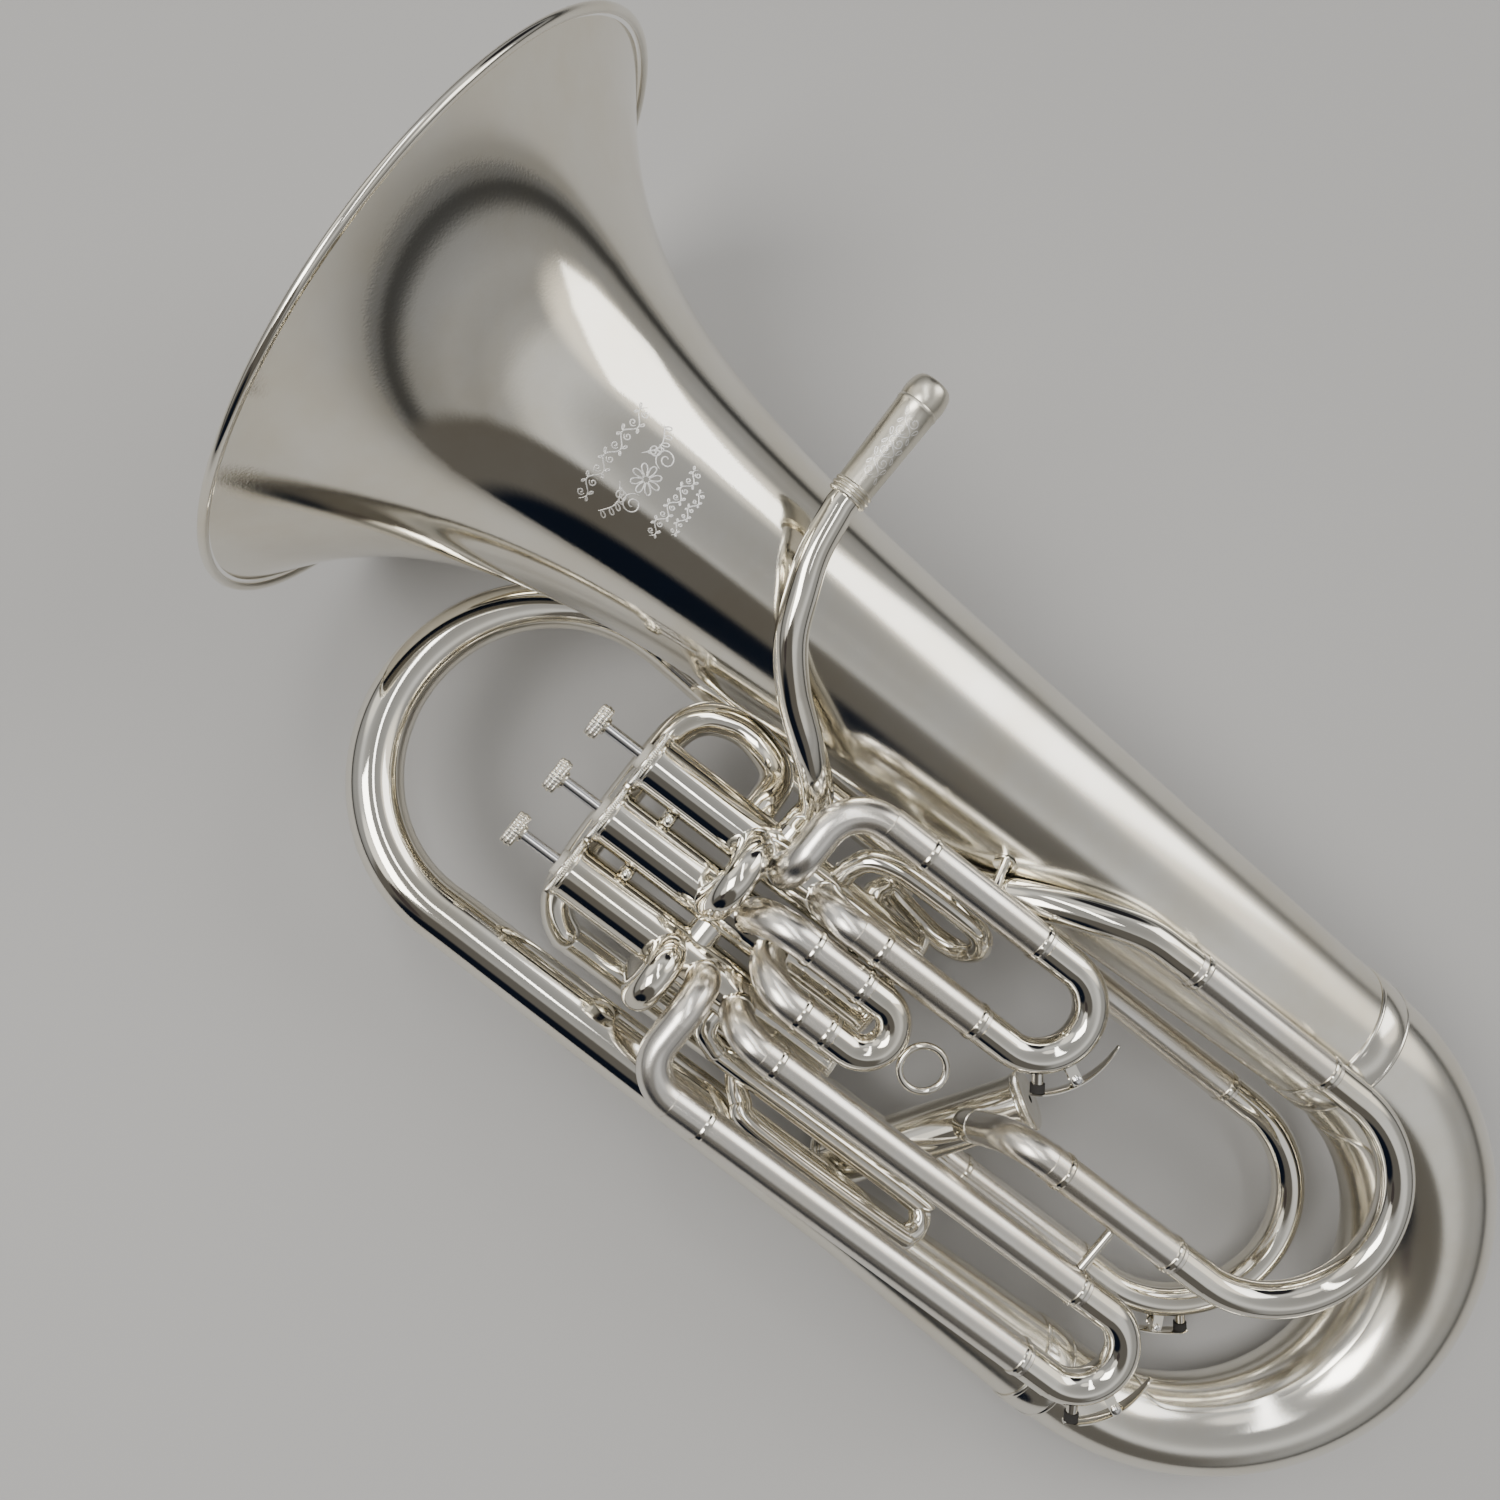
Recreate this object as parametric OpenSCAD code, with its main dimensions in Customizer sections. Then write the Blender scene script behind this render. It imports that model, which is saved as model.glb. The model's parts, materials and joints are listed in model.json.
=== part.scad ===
// Four-valve compensating euphonium (tenor tuba), lying on its back.
//
// Design frame used by every module before lay(): +Z runs down the bell axis from the
// rim plane (z = 0) to the bottom bow, +X points right and +Y points at the player.
// lay() turns that frame so that the bell rim and the bottom bow rest on the ground.

/* [Bell] */
// Diameter over the bell rim
bell_d = 304.8; // [290:0.2:310]
// Distance from the rim plane to the bell-to-bow joint
bell_len = 552; // [545:1:556]
// Radius of the bell stem at the joint
stem_end_r = 37.5; // [35:0.5:39]
// Growth of the stem radius per millimetre towards the rim
stem_taper = 0.042; // [0.038:0.001:0.044]
// Length over which the bell flare decays
flare_len = 57; // [52:1:60]
// Wall of the bell, the bow and the branches
wall = 0.8; // [0.6:0.1:1.2]
// Radius of the wire bead rolled into the rim
bead_r = 2.2; // [1.6:0.1:2.6]

/* [Bottom bow and branches] */
// Bend radius of the bottom bow on the bell side
bow_bend_r = 116; // [114:1:118]
// Bend radius of the bottom bow on the branch side
bow_branch_r = 109; // [108:1:111]
// Depth of the bow centre below the rim plane
bow_z = 560; // [558:1:562]
// Tube radius where the bow meets the outer branch
bow_small_r = 22; // [21:0.5:23]
// Bend radius of the top crook
crook_bend_r = 81.5; // [80:0.5:83]
// Depth of the crook centre below the rim plane
crook_z = 165; // [163:0.5:167]
// Tube radius at the outer-branch end of the top crook
crook_big_r = 14.5; // [14:0.1:15]
// Tube radius at the main-tube end of the top crook
crook_small_r = 11.2; // [10.8:0.1:11.6]

/* [Valves] */
// Distance between neighbouring valves
valve_pitch = 31.6; // [31:0.1:32]
// Position of the first valve along X
valve_1_x = -97; // [-98:0.5:-96]
// Height of the valve plane above the bell axis
valve_y = 18; // [17:0.5:20]
// Depth of the casing tops below the rim plane
valve_top_z = 198; // [196:1:200]
// Length of the three front casings
casing_len = 154; // [152:1:156]
// Outer radius of a casing
casing_r = 13.7; // [13.5:0.1:13.8]
// Radius of a piston
piston_r = 12.5; // [12.3:0.1:12.6]
// Travel of a piston
valve_travel = 18; // [14:1:18]
// Length of the fourth casing
casing_4_len = 115; // [114:1:116]

/* [Tubing] */
// Inner radius of the valve tubing
bore_r = 7.35; // [7.2:0.05:7.5]
// Outer radius of the bent tubes
tube_r = 8.3; // [8.1:0.1:8.3]
// Outer radius of the fixed slide legs
leg_r = 8.6; // [8.5:0.1:8.7]
// Radial clearance of every running fit
fit_gap = 0.05; // [0.03:0.01:0.09]
// Height of the valve-slide plane above the bell axis
slide_y = 50; // [48:0.5:53]
// Height of the main tuning slide above the bell axis
main_slide_y = 51; // [50.5:0.5:53]
// Height of the fourth slide, which lies behind the valves
fourth_slide_y = -19; // [-20:0.5:-17]

/* [Mouthpiece receiver] */
// Outer radius of the receiver at its mouth
receiver_r = 8.6; // [8.2:0.1:9]
// Radius of the socket for the mouthpiece shank
socket_r = 6.3; // [6.2:0.05:6.4]
// Depth of the socket
socket_depth = 25; // [22:1:28]
// Length of the receiver
receiver_len = 58; // [54:1:60]

/* [Resting position] */
// Tilt of the bell axis, rim end up
rest_tilt = 7.215; // [7:0.005:7.5]
// Roll about the bell axis, outer branch down
rest_roll = 14; // [13:0.5:15]

/* [Hidden] */
$fn = 96;

SILVER = [0.83, 0.81, 0.76];
SATIN = [0.76, 0.74, 0.69];
STEEL = [0.70, 0.71, 0.72];
CORK = [0.08, 0.07, 0.06];
FELT = [0.85, 0.83, 0.78];

// ---- derived places ----
bell_r = bell_d / 2;
flare_r = bell_r - bead_r - (stem_end_r + stem_taper * bell_len);
joint_len = 9;
branch_x = -bow_bend_r - bow_branch_r;
branch_top_z = crook_z + 2;
branch_end_z = bow_z - 16;
branch_top_x = branch_x + 7;
crook_x = branch_top_x + crook_bend_r;
crook_end_x = crook_x + crook_bend_r;
// Heights of the two ends of the top crook, outer branch first
crook_y = [2, -48];
valve_x = [for (i = [0:2]) valve_1_x - i * valve_pitch];
stub_len = 2;
stub_end = casing_r + stub_len;
barrel_r = piston_r + fit_gap;
inner_r = leg_r - 0.65;
slide_r = inner_r - fit_gap;

// Main tuning slide: right leg x, left leg x, and the depths of its rings and bow centre
main_x = [-17, -127];
main_top = 446;
main_ring = 531;
main_bow_z = 548;
// Valve slides in the same form
first_x = [-50.5, -96.5];
first_ring = 388;
first_bow_z = 404;
second_x = [-115, -141.5];
second_ring = 337;
second_bow_z = 346;
third_x = [-166.5, -209];
third_ring = 507;
third_bow_z = 523;
fourth_x = [-53.5, -172];
fourth_ring = 541;
fourth_bow_z = 556;

// Fourth valve: centre of its bottom cap and the direction from there to its button
v4_bottom = [-117, 3.9, 450.5];
v4_dir = unit([-0.87, -0.32, -0.405]);
v4_pitch = acos(-v4_dir[2]);
v4_yaw = atan2(-v4_dir[1], -v4_dir[0]);

// Leadpipe and receiver
receiver_x = 45;
receiver_y = 70;
receiver_z = 193;
lead_r = 6.4;

// The resting horn's middle is moved over the origin
rest_shift = [44.67, 339.17];
rest_h = (bell_r - bead_r) * cos(rest_tilt) + bead_r + bead_r * sin(rest_tilt);

// ---- placing ----
module lay() {
    translate([rest_shift[0], rest_shift[1], rest_h])
        rotate([rest_tilt, 0, 0])
            rotate([0, -rest_roll, 0])
                rotate([90, 0, 0])
                    children();
}

module at_valve(i) {
    if (i < 3)
        translate([valve_x[i], valve_y, valve_top_z]) children();
    else
        translate(v4_bottom + v4_dir * casing_4_len)
            rotate([0, v4_pitch, v4_yaw])
                children();
}

function casing_length(i) = i < 3 ? casing_len : casing_4_len;

// ---- tube making ----
module ring_2d(ro, ri) {
    difference() {
        circle(r = ro);
        circle(r = ri);
    }
}

module sleeve(ro, ri, h) {
    difference() {
        cylinder(r = ro, h = h);
        translate([0, 0, -1]) cylinder(r = ri, h = h + 2);
    }
}

// Walks a tube from the origin along +Z. A step is [length] or [bend radius, angle, roll]:
// the roll turns the frame about the tube first, then the tube bends towards its +X.
module run(steps, ro = tube_r, ri = bore_r, i = 0) {
    if (i < len(steps)) {
        step = steps[i];
        if (len(step) == 1) {
            sleeve(ro, ri, step[0]);
            translate([0, 0, step[0]]) run(steps, ro, ri, i + 1);
        } else {
            bend = step[0];
            angle = step[1];
            rotate([0, 0, step[2]]) {
                translate([bend, 0, 0])
                    rotate([90, 0, 180])
                        rotate_extrude(angle = angle)
                            translate([bend, 0]) ring_2d(ro, ri);
                translate([bend * (1 - cos(angle)), 0, bend * sin(angle)])
                    rotate([0, angle, 0])
                        run(steps, ro, ri, i + 1);
            }
        }
    }
}

// Smooth curve through the points P, n steps between neighbours
function spline_at(a, b, c, d, t) =
    0.5 * (2 * b + (c - a) * t + (2 * a - 5 * b + 4 * c - d) * t * t
        + (3 * b - a - 3 * c + d) * t * t * t);
function spline(P, n) = [
    for (i = [0:len(P) - 2], k = [0:n - 1])
        spline_at(i == 0 ? 2 * P[0] - P[1] : P[i - 1], P[i], P[i + 1],
            i == len(P) - 2 ? 2 * P[i + 1] - P[i] : P[i + 2], k / n),
    P[len(P) - 1]];

function unit(v) = v / norm(v);
function tangent(P, i) = unit(P[min(i + 1, len(P) - 1)] - P[max(i - 1, 0)]);
// Normals carried along the curve without twisting
function normals(P, n0, i = 0, out = []) = i == len(P) ? out :
    let (t = tangent(P, i), m = unit(n0 - t * (n0 * t)))
    normals(P, m, i + 1, concat(out, [m]));

// Hollow tube along the points P; R holds the outer radius at each point
module swept_tube(P, R, t, side, sides = 20) {
    N = normals(P, side);
    n = len(P);
    ring = function (grow) [
        for (i = [0:n - 1])
            let (a = tangent(P, i), b = cross(a, N[i]))
            for (k = [0:sides - 1])
                P[i] + (R[i] + grow) * (cos(360 * k / sides) * N[i] + sin(360 * k / sides) * b)];
    pts = concat(ring(0), ring(-t));
    m = n * sides;
    walls = [
        for (i = [0:n - 2], k = [0:sides - 1])
            let (p = i * sides + k, q = i * sides + (k + 1) % sides)
            each [[p, p + sides, q + sides, q], [m + p, m + q, m + q + sides, m + p + sides]]];
    ends = [
        for (k = [0:sides - 1])
            let (p = k, q = (k + 1) % sides, e = (n - 1) * sides)
            each [[p, q, m + q, m + p], [e + p, m + e + p, m + e + q, e + q]]];
    polyhedron(points = pts, faces = concat(walls, ends), convexity = 10);
}

function blend(a, b, n) = [for (i = [0:n]) a + (b - a) * i / n];

// Half circle of tube in the XZ plane, from the right leg round to the left leg
module half_bow(x, y, z, ro = tube_r, ri = bore_r) {
    mid = (x[0] + x[1]) / 2;
    translate([mid, y, z])
        rotate([90, 0, 0])
            rotate_extrude(angle = 180)
                translate([(x[0] - x[1]) / 2, 0]) ring_2d(ro, ri);
}

// ---- bell ----
function stem_radius(z) = stem_end_r + stem_taper * (bell_len - z) + flare_r * exp(-z / flare_len);

module bell() {
    zs = concat([for (k = [0:11]) bead_r + 4 * k + 0.28 * k * k], [for (z = [92:20:532]) z]);
    outer = [for (z = zs) [stem_radius(z), z]];
    inner = [for (k = [len(zs) - 1:-1:0]) [stem_radius(zs[k]) - wall, zs[k]]];
    end_r = stem_end_r;
    color(SILVER) lay()
        rotate_extrude()
            polygon(concat(outer,
                [[end_r, bell_len - joint_len], [end_r, bell_len],
                    [end_r - wall, bell_len], [end_r - wall, bell_len - joint_len]],
                inner));
}

module bell_rim_bead() {
    r = bell_r - bead_r;
    lip = stem_radius(bead_r);
    color(SILVER) lay()
        rotate_extrude()
            difference() {
                translate([r, bead_r]) circle(r = bead_r, $fn = 32);
                translate([lip - 6, bead_r]) square([6.02, 8]);
            }
}

// Section of a smooth sleeve of length h round a tube of radius r
module ferrule_2d(r, h) {
    polygon([[r + 0.15, 0], [r + 0.9, 0], [r + 1.4, 0.9], [r + 1.4, h - 0.9], [r + 0.9, h], [r + 0.15, h]]);
}

module bow_ferrules() {
    color(SILVER) lay() {
        translate([0, 0, bell_len - joint_len + 0.5])
            rotate_extrude()
                ferrule_2d(stem_end_r, 17.5);
        translate([branch_x, 0, branch_end_z - 9.5])
            rotate_extrude()
                ferrule_2d(bow_small_r, 18.5);
    }
}

// ---- bottom bow, guard and outer branch ----
bow_steps = 30;
bow_sides = 28;
bow_arc = [for (i = [0:bow_steps]) 180 * i / bow_steps];
function bow_point(a) = [-bow_bend_r + (a < 90 ? bow_bend_r : bow_branch_r) * cos(a), 0,
    bow_z + bow_bend_r * sin(a)];
function bow_tube_r(a) = (stem_end_r + bow_small_r) / 2 + (stem_end_r - bow_small_r) / 2 * cos(a);

module bottom_bow() {
    P = concat([[0, 0, bell_len]], [for (a = bow_arc) bow_point(a)], [[branch_x, 0, branch_end_z]]);
    R = concat([stem_end_r], [for (a = bow_arc) bow_tube_r(a)], [bow_small_r]);
    color(SILVER) lay() swept_tube(P, R, wall, [0, 1, 0], bow_sides);
}

// Wear plate wrapped round the outside of the bow
guard_arc = [for (a = bow_arc) if (a >= 12 && a <= 162) a];
guard_wrap = [for (k = [-3:3]) 360 * k / bow_sides];
function guard_out(a) = let (s = 180 / bow_steps)
    cross(unit(bow_point(a + s) - bow_point(a - s)), [0, 1, 0]);
module bow_guard() {
    P = [for (a = guard_arc) bow_point(a)];
    n = len(P);
    m = len([for (w = guard_wrap) w]);
    skin = function (grow) [
        for (i = [0:n - 1])
            let (d = guard_out(guard_arc[i]))
            for (w = guard_wrap)
                P[i] + (bow_tube_r(guard_arc[i]) + grow) * (cos(w) * d + sin(w) * [0, 1, 0])];
    h = n * m;
    walls = [for (i = [0:n - 2], k = [0:m - 2])
        let (p = i * m + k)
        each [[p, p + 1, p + m + 1, p + m], [h + p, h + p + m, h + p + m + 1, h + p + 1]]];
    sides = [for (i = [0:n - 2])
        let (p = i * m, q = i * m + m - 1)
        each [[p, p + m, h + p + m, h + p], [q, h + q, h + q + m, q + m]]];
    ends = [for (k = [0:m - 2])
        let (e = (n - 1) * m + k)
        each [[k, h + k, h + k + 1, k + 1], [e, e + 1, h + e + 1, h + e]]];
    color(SATIN) lay()
        polyhedron(points = concat(skin(0.95), skin(0.15)), faces = concat(walls, sides, ends), convexity = 10);
}

module outer_branch() {
    top = [branch_top_x, crook_y[0], branch_top_z];
    low = [branch_x, 0, branch_end_z];
    waist = low + (top - low) * 0.33;
    P = [top, top + [0, 0, 5], waist, low - [0, 0, joint_len + 5], low - [0, 0, joint_len], low];
    R = [crook_big_r, crook_big_r + 0.1, 17.4, bow_small_r - 0.1, bow_small_r, bow_small_r];
    color(SILVER) lay() swept_tube(P, R, wall, [0, 1, 0], 40);
}

module top_crook() {
    n = 32;
    ends = [[branch_top_x, crook_y[0], branch_top_z - 0.05], [crook_end_x, crook_y[1], branch_top_z - 0.05]];
    arc = [for (i = [0:n])
        let (a = 180 * i / n)
        [crook_x - crook_bend_r * cos(a), crook_y[0] + (crook_y[1] - crook_y[0]) * (1 - cos(a)) / 2,
            crook_z - crook_bend_r * sin(a)]];
    P = concat([ends[0]], arc, [ends[1]]);
    color(SILVER) lay() swept_tube(P, blend(crook_big_r, crook_small_r, n + 2), wall, [0, 1, 0]);
}

module main_tube() {
    start = [crook_end_x, crook_y[1], branch_top_z];
    stop = [main_x[0], main_slide_y, main_top - 0.1];
    way = [start + [0, 0, 4], [-58, -45, 220], [-61, -30, 270], [-60.5, -8, 316], [-56, 11, 342],
        [-47.5, 27.8, 359], [-38, 38.6, 374], [-27, 47, 396], [-18.5, 50.8, 420], stop - [0, 0, 4]];
    P = concat([start], spline(way, 4), [stop]);
    n = len(P) - 1;
    R = concat(blend(crook_small_r, tube_r, 24), [for (k = [25:n]) tube_r]);
    color(SILVER) lay() swept_tube(P, R, wall, [1, 0, 0], 18);
}

// Point in front of a port of valve i, at an angle about the valve
function port_at(i, angle, z, gap) = [valve_x[i] + (stub_end + gap) * cos(angle),
    valve_y + (stub_end + gap) * sin(angle), z];

// ---- leadpipe and receiver ----
module leadpipe() {
    way = [[receiver_x - 4, receiver_y, receiver_z], [20, 69.5, 196.5], [3, 68.5, 203],
        [-15, 65, 212], [-31, 59, 227], [-45, 52, 246], [-57, 40, 262], [-67, 27, 270.5],
        port_at(0, 0, 272, 3)];
    P = concat([[receiver_x - 0.1, receiver_y, receiver_z]], spline(way, 5), [port_at(0, 0, 272, 0.1)]);
    color(SILVER) lay() swept_tube(P, blend(lead_r, 7.8, len(P) - 1), wall, [0, 1, 0], 16);
}

module mouthpiece_receiver() {
    color(SILVER) lay()
        translate([receiver_x, receiver_y, receiver_z])
            rotate([0, 90, 0])
                difference() {
                    rotate_extrude()
                        polygon([[0, 0], [7.6, 0], [8, 1], [7.6, 2], [8, 3], [7.6, 4], [8, 5], [7.4, 6],
                            [receiver_r - 0.5, receiver_len - 13], [receiver_r, receiver_len - 12],
                            [receiver_r, receiver_len - 11], [receiver_r - 0.3, receiver_len - 10.5],
                            [receiver_r, receiver_len - 10], [receiver_r, receiver_len - 3],
                            [receiver_r - 0.6, receiver_len - 1], [receiver_r - 1.6, receiver_len],
                            [0, receiver_len]]);
                    translate([0, 0, -1]) cylinder(r = lead_r - wall, h = receiver_len);
                    translate([0, 0, receiver_len - socket_depth])
                        cylinder(r = socket_r, h = socket_depth + 1);
                }
}

// ---- valves ----
// Port stubs of the front casings: [angle about the valve, depth below the rim, radius, reach]
half_gap = valve_pitch / 2;
function toward(i, x) = atan2(slide_y - valve_y, x - valve_x[i]);
function reach_to(i, x) = norm([slide_y - valve_y, x - valve_x[i]]);
second_a_z = 279;
second_b_z = 297;
third_a_z = 301;
loop_r = 5.5;
loop_stub_r = loop_r + 0.4;
stubs = [
    [[90, 260, leg_r, stub_end], [90, 277, leg_r, stub_end], [90, 300, leg_r, stub_end],
        [0, 272, leg_r, stub_end], [-33, 254, leg_r, stub_end],
        [15, 302, loop_stub_r, stub_end], [-35, 322, loop_stub_r, stub_end]],
    [[90, 260, leg_r, stub_end], [toward(1, second_x[0]), second_a_z, leg_r, stub_end],
        [toward(1, second_x[1]), second_b_z, leg_r, stub_end], [180, 268, leg_r, half_gap],
        [-90, 262, loop_stub_r, stub_end], [-90, 298, loop_stub_r, stub_end],
        [-90, 337, leg_r, stub_end]],
    [[90, 259, leg_r, stub_end], [90, 279, leg_r, stub_end],
        [toward(2, third_x[0]), third_a_z, leg_r, stub_end], [0, 268, leg_r, half_gap],
        [180, 296, loop_stub_r, stub_end], [222, 320, loop_stub_r, stub_end]]];

module front_casing(i) {
    color(SILVER) lay()
        difference() {
            union() {
                at_valve(i) cylinder(r = casing_r, h = casing_len);
                for (s = stubs[i])
                    translate([valve_x[i], valve_y, s[1]])
                        rotate([0, 0, s[0]])
                            rotate([0, 90, 0])
                                cylinder(r = s[2], h = s[3]);
            }
            at_valve(i) translate([0, 0, -1]) cylinder(r = barrel_r, h = casing_len + 2);
            for (s = stubs[i])
                translate([valve_x[i], valve_y, s[1]])
                    rotate([0, 0, s[0]])
                        rotate([0, 90, 0])
                            cylinder(r = min(bore_r, s[2] - 1), h = s[3] + 1);
        }
}

module valve_casing_1() { front_casing(0); }
module valve_casing_2() { front_casing(1); }
module valve_casing_3() { front_casing(2); }

// Places on the axis of the fourth valve, by x
function v4_at(x) = v4_bottom + v4_dir * ((x - v4_bottom[0]) / v4_dir[0]);
link_x = -182.6;
return_x = -198.5;
neck_x = -150;
neck_dir = unit([main_x[1] - neck_x, main_slide_y - v4_at(neck_x)[1], 0]);
neck_stub = 24;
side_stub = 20;

// The ports of the fourth casing, drawn with radius r and moved out by grow
module fourth_ports(r, grow) {
    for (x = [link_x, return_x])
        translate([x, v4_at(x)[1], v4_at(x)[2] - side_stub - grow]) cylinder(r = r, h = side_stub + grow);
    translate([fourth_x[1], fourth_slide_y, v4_at(fourth_x[1])[2]]) cylinder(r = r, h = side_stub + grow);
    translate(v4_at(neck_x))
        rotate([0, 90, atan2(neck_dir[1], neck_dir[0])])
            cylinder(r = r, h = neck_stub + grow);
}

module valve_casing_4() {
    color(SILVER) lay()
        difference() {
            union() {
                at_valve(3) cylinder(r = casing_r, h = casing_4_len - 2);
                fourth_ports(leg_r, 0);
            }
            at_valve(3) translate([0, 0, -1]) cylinder(r = barrel_r, h = casing_4_len + 2);
            fourth_ports(bore_r, 1);
        }
}

cap_r = 15;
cap_skirt = casing_r + fit_gap;
stem_r = 3;

// Screwed cap with a knurled edge; the skirt points along +Z
module cap(hole_r) {
    teeth = 36;
    difference() {
        union() {
            cylinder(r = cap_r - 0.7, h = 6);
            for (z = [0.9, 3.5])
                translate([0, 0, z]) cylinder(r = cap_r, h = 1.6);
        }
        translate([0, 0, 2.2]) cylinder(r = cap_skirt, h = 5);
        translate([0, 0, -1]) cylinder(r = hole_r, h = 5);
        for (k = [0:teeth - 1])
            rotate([0, 0, 360 * k / teeth])
                translate([cap_r + 0.25, 0, -1])
                    cylinder(r = 0.6, h = 9, $fn = 16);
    }
}

module valve_top_caps() {
    color(SILVER) lay()
        for (i = [0:3])
            at_valve(i) translate([0, 0, -2.25]) cap(stem_r + fit_gap);
}

module valve_bottom_caps() {
    color(SILVER) lay()
        for (i = [0:3])
            at_valve(i)
                translate([0, 0, (i < 3 ? casing_len : casing_4_len - 2) + 2.25])
                    rotate([180, 0, 0])
                        cap(2);
}

module valve_cap_felts() {
    color(FELT) lay()
        for (i = [0:3])
            at_valve(i) translate([0, 0, -4.8]) sleeve(6.5, stem_r + 0.3, 2.5);
}

piston_top = 34;
piston_len = [80, 80, 80, 40];
piston_4_top = 26;
function piston_at(i) = i < 3 ? piston_top : piston_4_top;
function spring_room(i) = casing_length(i) - piston_at(i) - piston_len[i] + (i < 3 ? 0 : -2);
port_pitch = 20;

module piston(i) {
    color(STEEL) lay()
        at_valve(i)
            translate([0, 0, piston_at(i)])
                difference() {
                    cylinder(r = piston_r, h = piston_len[i]);
                    for (z = [10:port_pitch:piston_len[i] - 8])
                        translate([0, -piston_r - 1, z])
                            rotate([-90, 0, 0])
                                cylinder(r = bore_r, h = 2 * piston_r + 2);
                    translate([0, 0, -1]) cylinder(r = 1.6, h = 4);
                }
}

module piston_1() { piston(0); }
module piston_2() { piston(1); }
module piston_3() { piston(2); }
module piston_4() { piston(3); }

button_rise = 31;
button_4_rise = 22;
function button_at(i) = i < 3 ? -button_rise : -button_4_rise;

module valve_stem(i) {
    top = button_at(i) + 2.5;
    color(STEEL) lay()
        at_valve(i)
            translate([0, 0, top]) {
                cylinder(r = stem_r, h = piston_at(i) - top);
                translate([0, 0, piston_at(i) - top]) cylinder(r = 1.6, h = 2.9);
            }
}

module valve_stem_1() { valve_stem(0); }
module valve_stem_2() { valve_stem(1); }
module valve_stem_3() { valve_stem(2); }
module valve_stem_4() { valve_stem(3); }

// Finger button: a dished disc with a rolled edge and an engraved crown
module finger_button(i) {
    color(SILVER) lay()
        at_valve(i)
            translate([0, 0, button_at(i)])
                difference() {
                    rotate_extrude()
                        polygon([[0, -1.2], [4, -1], [6.6, -0.2], [7.6, -0.6], [8.3, 0.2], [8.4, 1.4],
                            [8, 2.6], [6.8, 3.4], [4, 4], [4, 6.5], [stem_r, 7], [0, 7]]);
                    translate([0, 0, 2.5]) cylinder(r = stem_r, h = 6);
                }
}

module finger_button_1() { finger_button(0); }
module finger_button_2() { finger_button(1); }
module finger_button_3() { finger_button(2); }
module finger_button_4() { finger_button(3); }

// Return spring under the piston
module valve_spring(i) {
    wire = 0.7;
    coil_r = 8.5;
    turns = 6;
    steps = turns * 8;
    sides = 6;
    room = spring_room(i) - 0.2 - 2 * wire;
    P = [for (k = [0:steps])
        let (a = 360 * turns * k / steps)
        [coil_r * cos(a), coil_r * sin(a), wire + 0.1 + room * k / steps]];
    N = normals(P, [1, 0, 0]);
    pts = [for (j = [0:steps], k = [0:sides - 1])
        let (b = cross(tangent(P, j), N[j]))
        P[j] + wire * (cos(360 * k / sides) * N[j] + sin(360 * k / sides) * b)];
    walls = [for (j = [0:steps - 1], k = [0:sides - 1])
        let (p = j * sides + k, q = j * sides + (k + 1) % sides)
        [p, p + sides, q + sides, q]];
    ends = [[for (k = [0:sides - 1]) k], [for (k = [sides - 1:-1:0]) steps * sides + k]];
    color(STEEL) lay()
        at_valve(i)
            translate([0, 0, piston_at(i) + piston_len[i]])
                polyhedron(points = pts, faces = concat(walls, ends), convexity = 10);
}

module valve_spring_1() { valve_spring(0); }
module valve_spring_2() { valve_spring(1); }
module valve_spring_3() { valve_spring(2); }
module valve_spring_4() { valve_spring(3); }

// Starts a tube at a front casing's port, heading outward
module from_port(i, angle, z) {
    translate([valve_x[i], valve_y, z])
        rotate([0, 0, angle])
            translate([stub_end, 0, 0])
                rotate([0, 90, 0])
                    children();
}

link_turn = (valve_x[2] - link_x) / 2;
link_bend = 14;
module valve_crossovers() {
    drop = valve_y + stub_end - v4_at(link_x)[1] - link_bend;
    fall = v4_at(link_x)[2] - side_stub - 259 - link_bend;
    color(SILVER) lay() {
        from_port(0, 90, 260) run([[half_gap, 180, 90]]);
        from_port(2, 90, 259) run([[link_turn, 180, 90], [drop], [link_bend, 90, 90], [fall]]);
    }
}

// ---- slides ----
// Fixed outer leg from z0 down to the ring
module leg(x, y, z0, z1) {
    translate([x, y, z0]) sleeve(leg_r, inner_r, z1 - z0);
}

// Moving bow: two inner tubes, two ferrules and the bend
module slide_bow(x, y, ring, bow_z, depth) {
    for (k = x) {
        translate([k, y, ring - depth]) sleeve(slide_r, bore_r, depth + 0.2);
        translate([k, y, ring + 0.2]) sleeve(leg_r, bore_r, bow_z - ring - 0.2);
    }
    half_bow(x, y, bow_z);
}

first_turn = slide_y - valve_y - stub_end;
first_bend = 20;
module first_slide_legs() {
    across = first_x[0] - first_x[1] - first_turn - first_bend;
    color(SATIN) lay() {
        from_port(0, 90, 277) run([[first_turn, 90, -90], [across], [first_bend, 90, -90]]);
        leg(first_x[0], slide_y, 277 + first_bend, first_ring);
        from_port(0, 90, 300) run([[first_turn, 90, 180]]);
        leg(first_x[1], slide_y, 300 + first_turn, first_ring);
    }
}

module first_slide_bow() {
    color(SILVER) lay() slide_bow(first_x, slide_y, first_ring, first_bow_z, 60);
}

module second_slide_legs() {
    color(SATIN) lay()
        for (p = [[second_x[0], second_a_z], [second_x[1], second_b_z]]) {
            turn = reach_to(1, p[0]) - stub_end;
            from_port(1, toward(1, p[0]), p[1]) run([[turn, 90, 180], [second_ring - p[1] - turn]],
                leg_r, inner_r);
        }
}

module second_slide_bow() {
    color(SILVER) lay() slide_bow(second_x, slide_y, second_ring, second_bow_z, 20);
}

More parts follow.
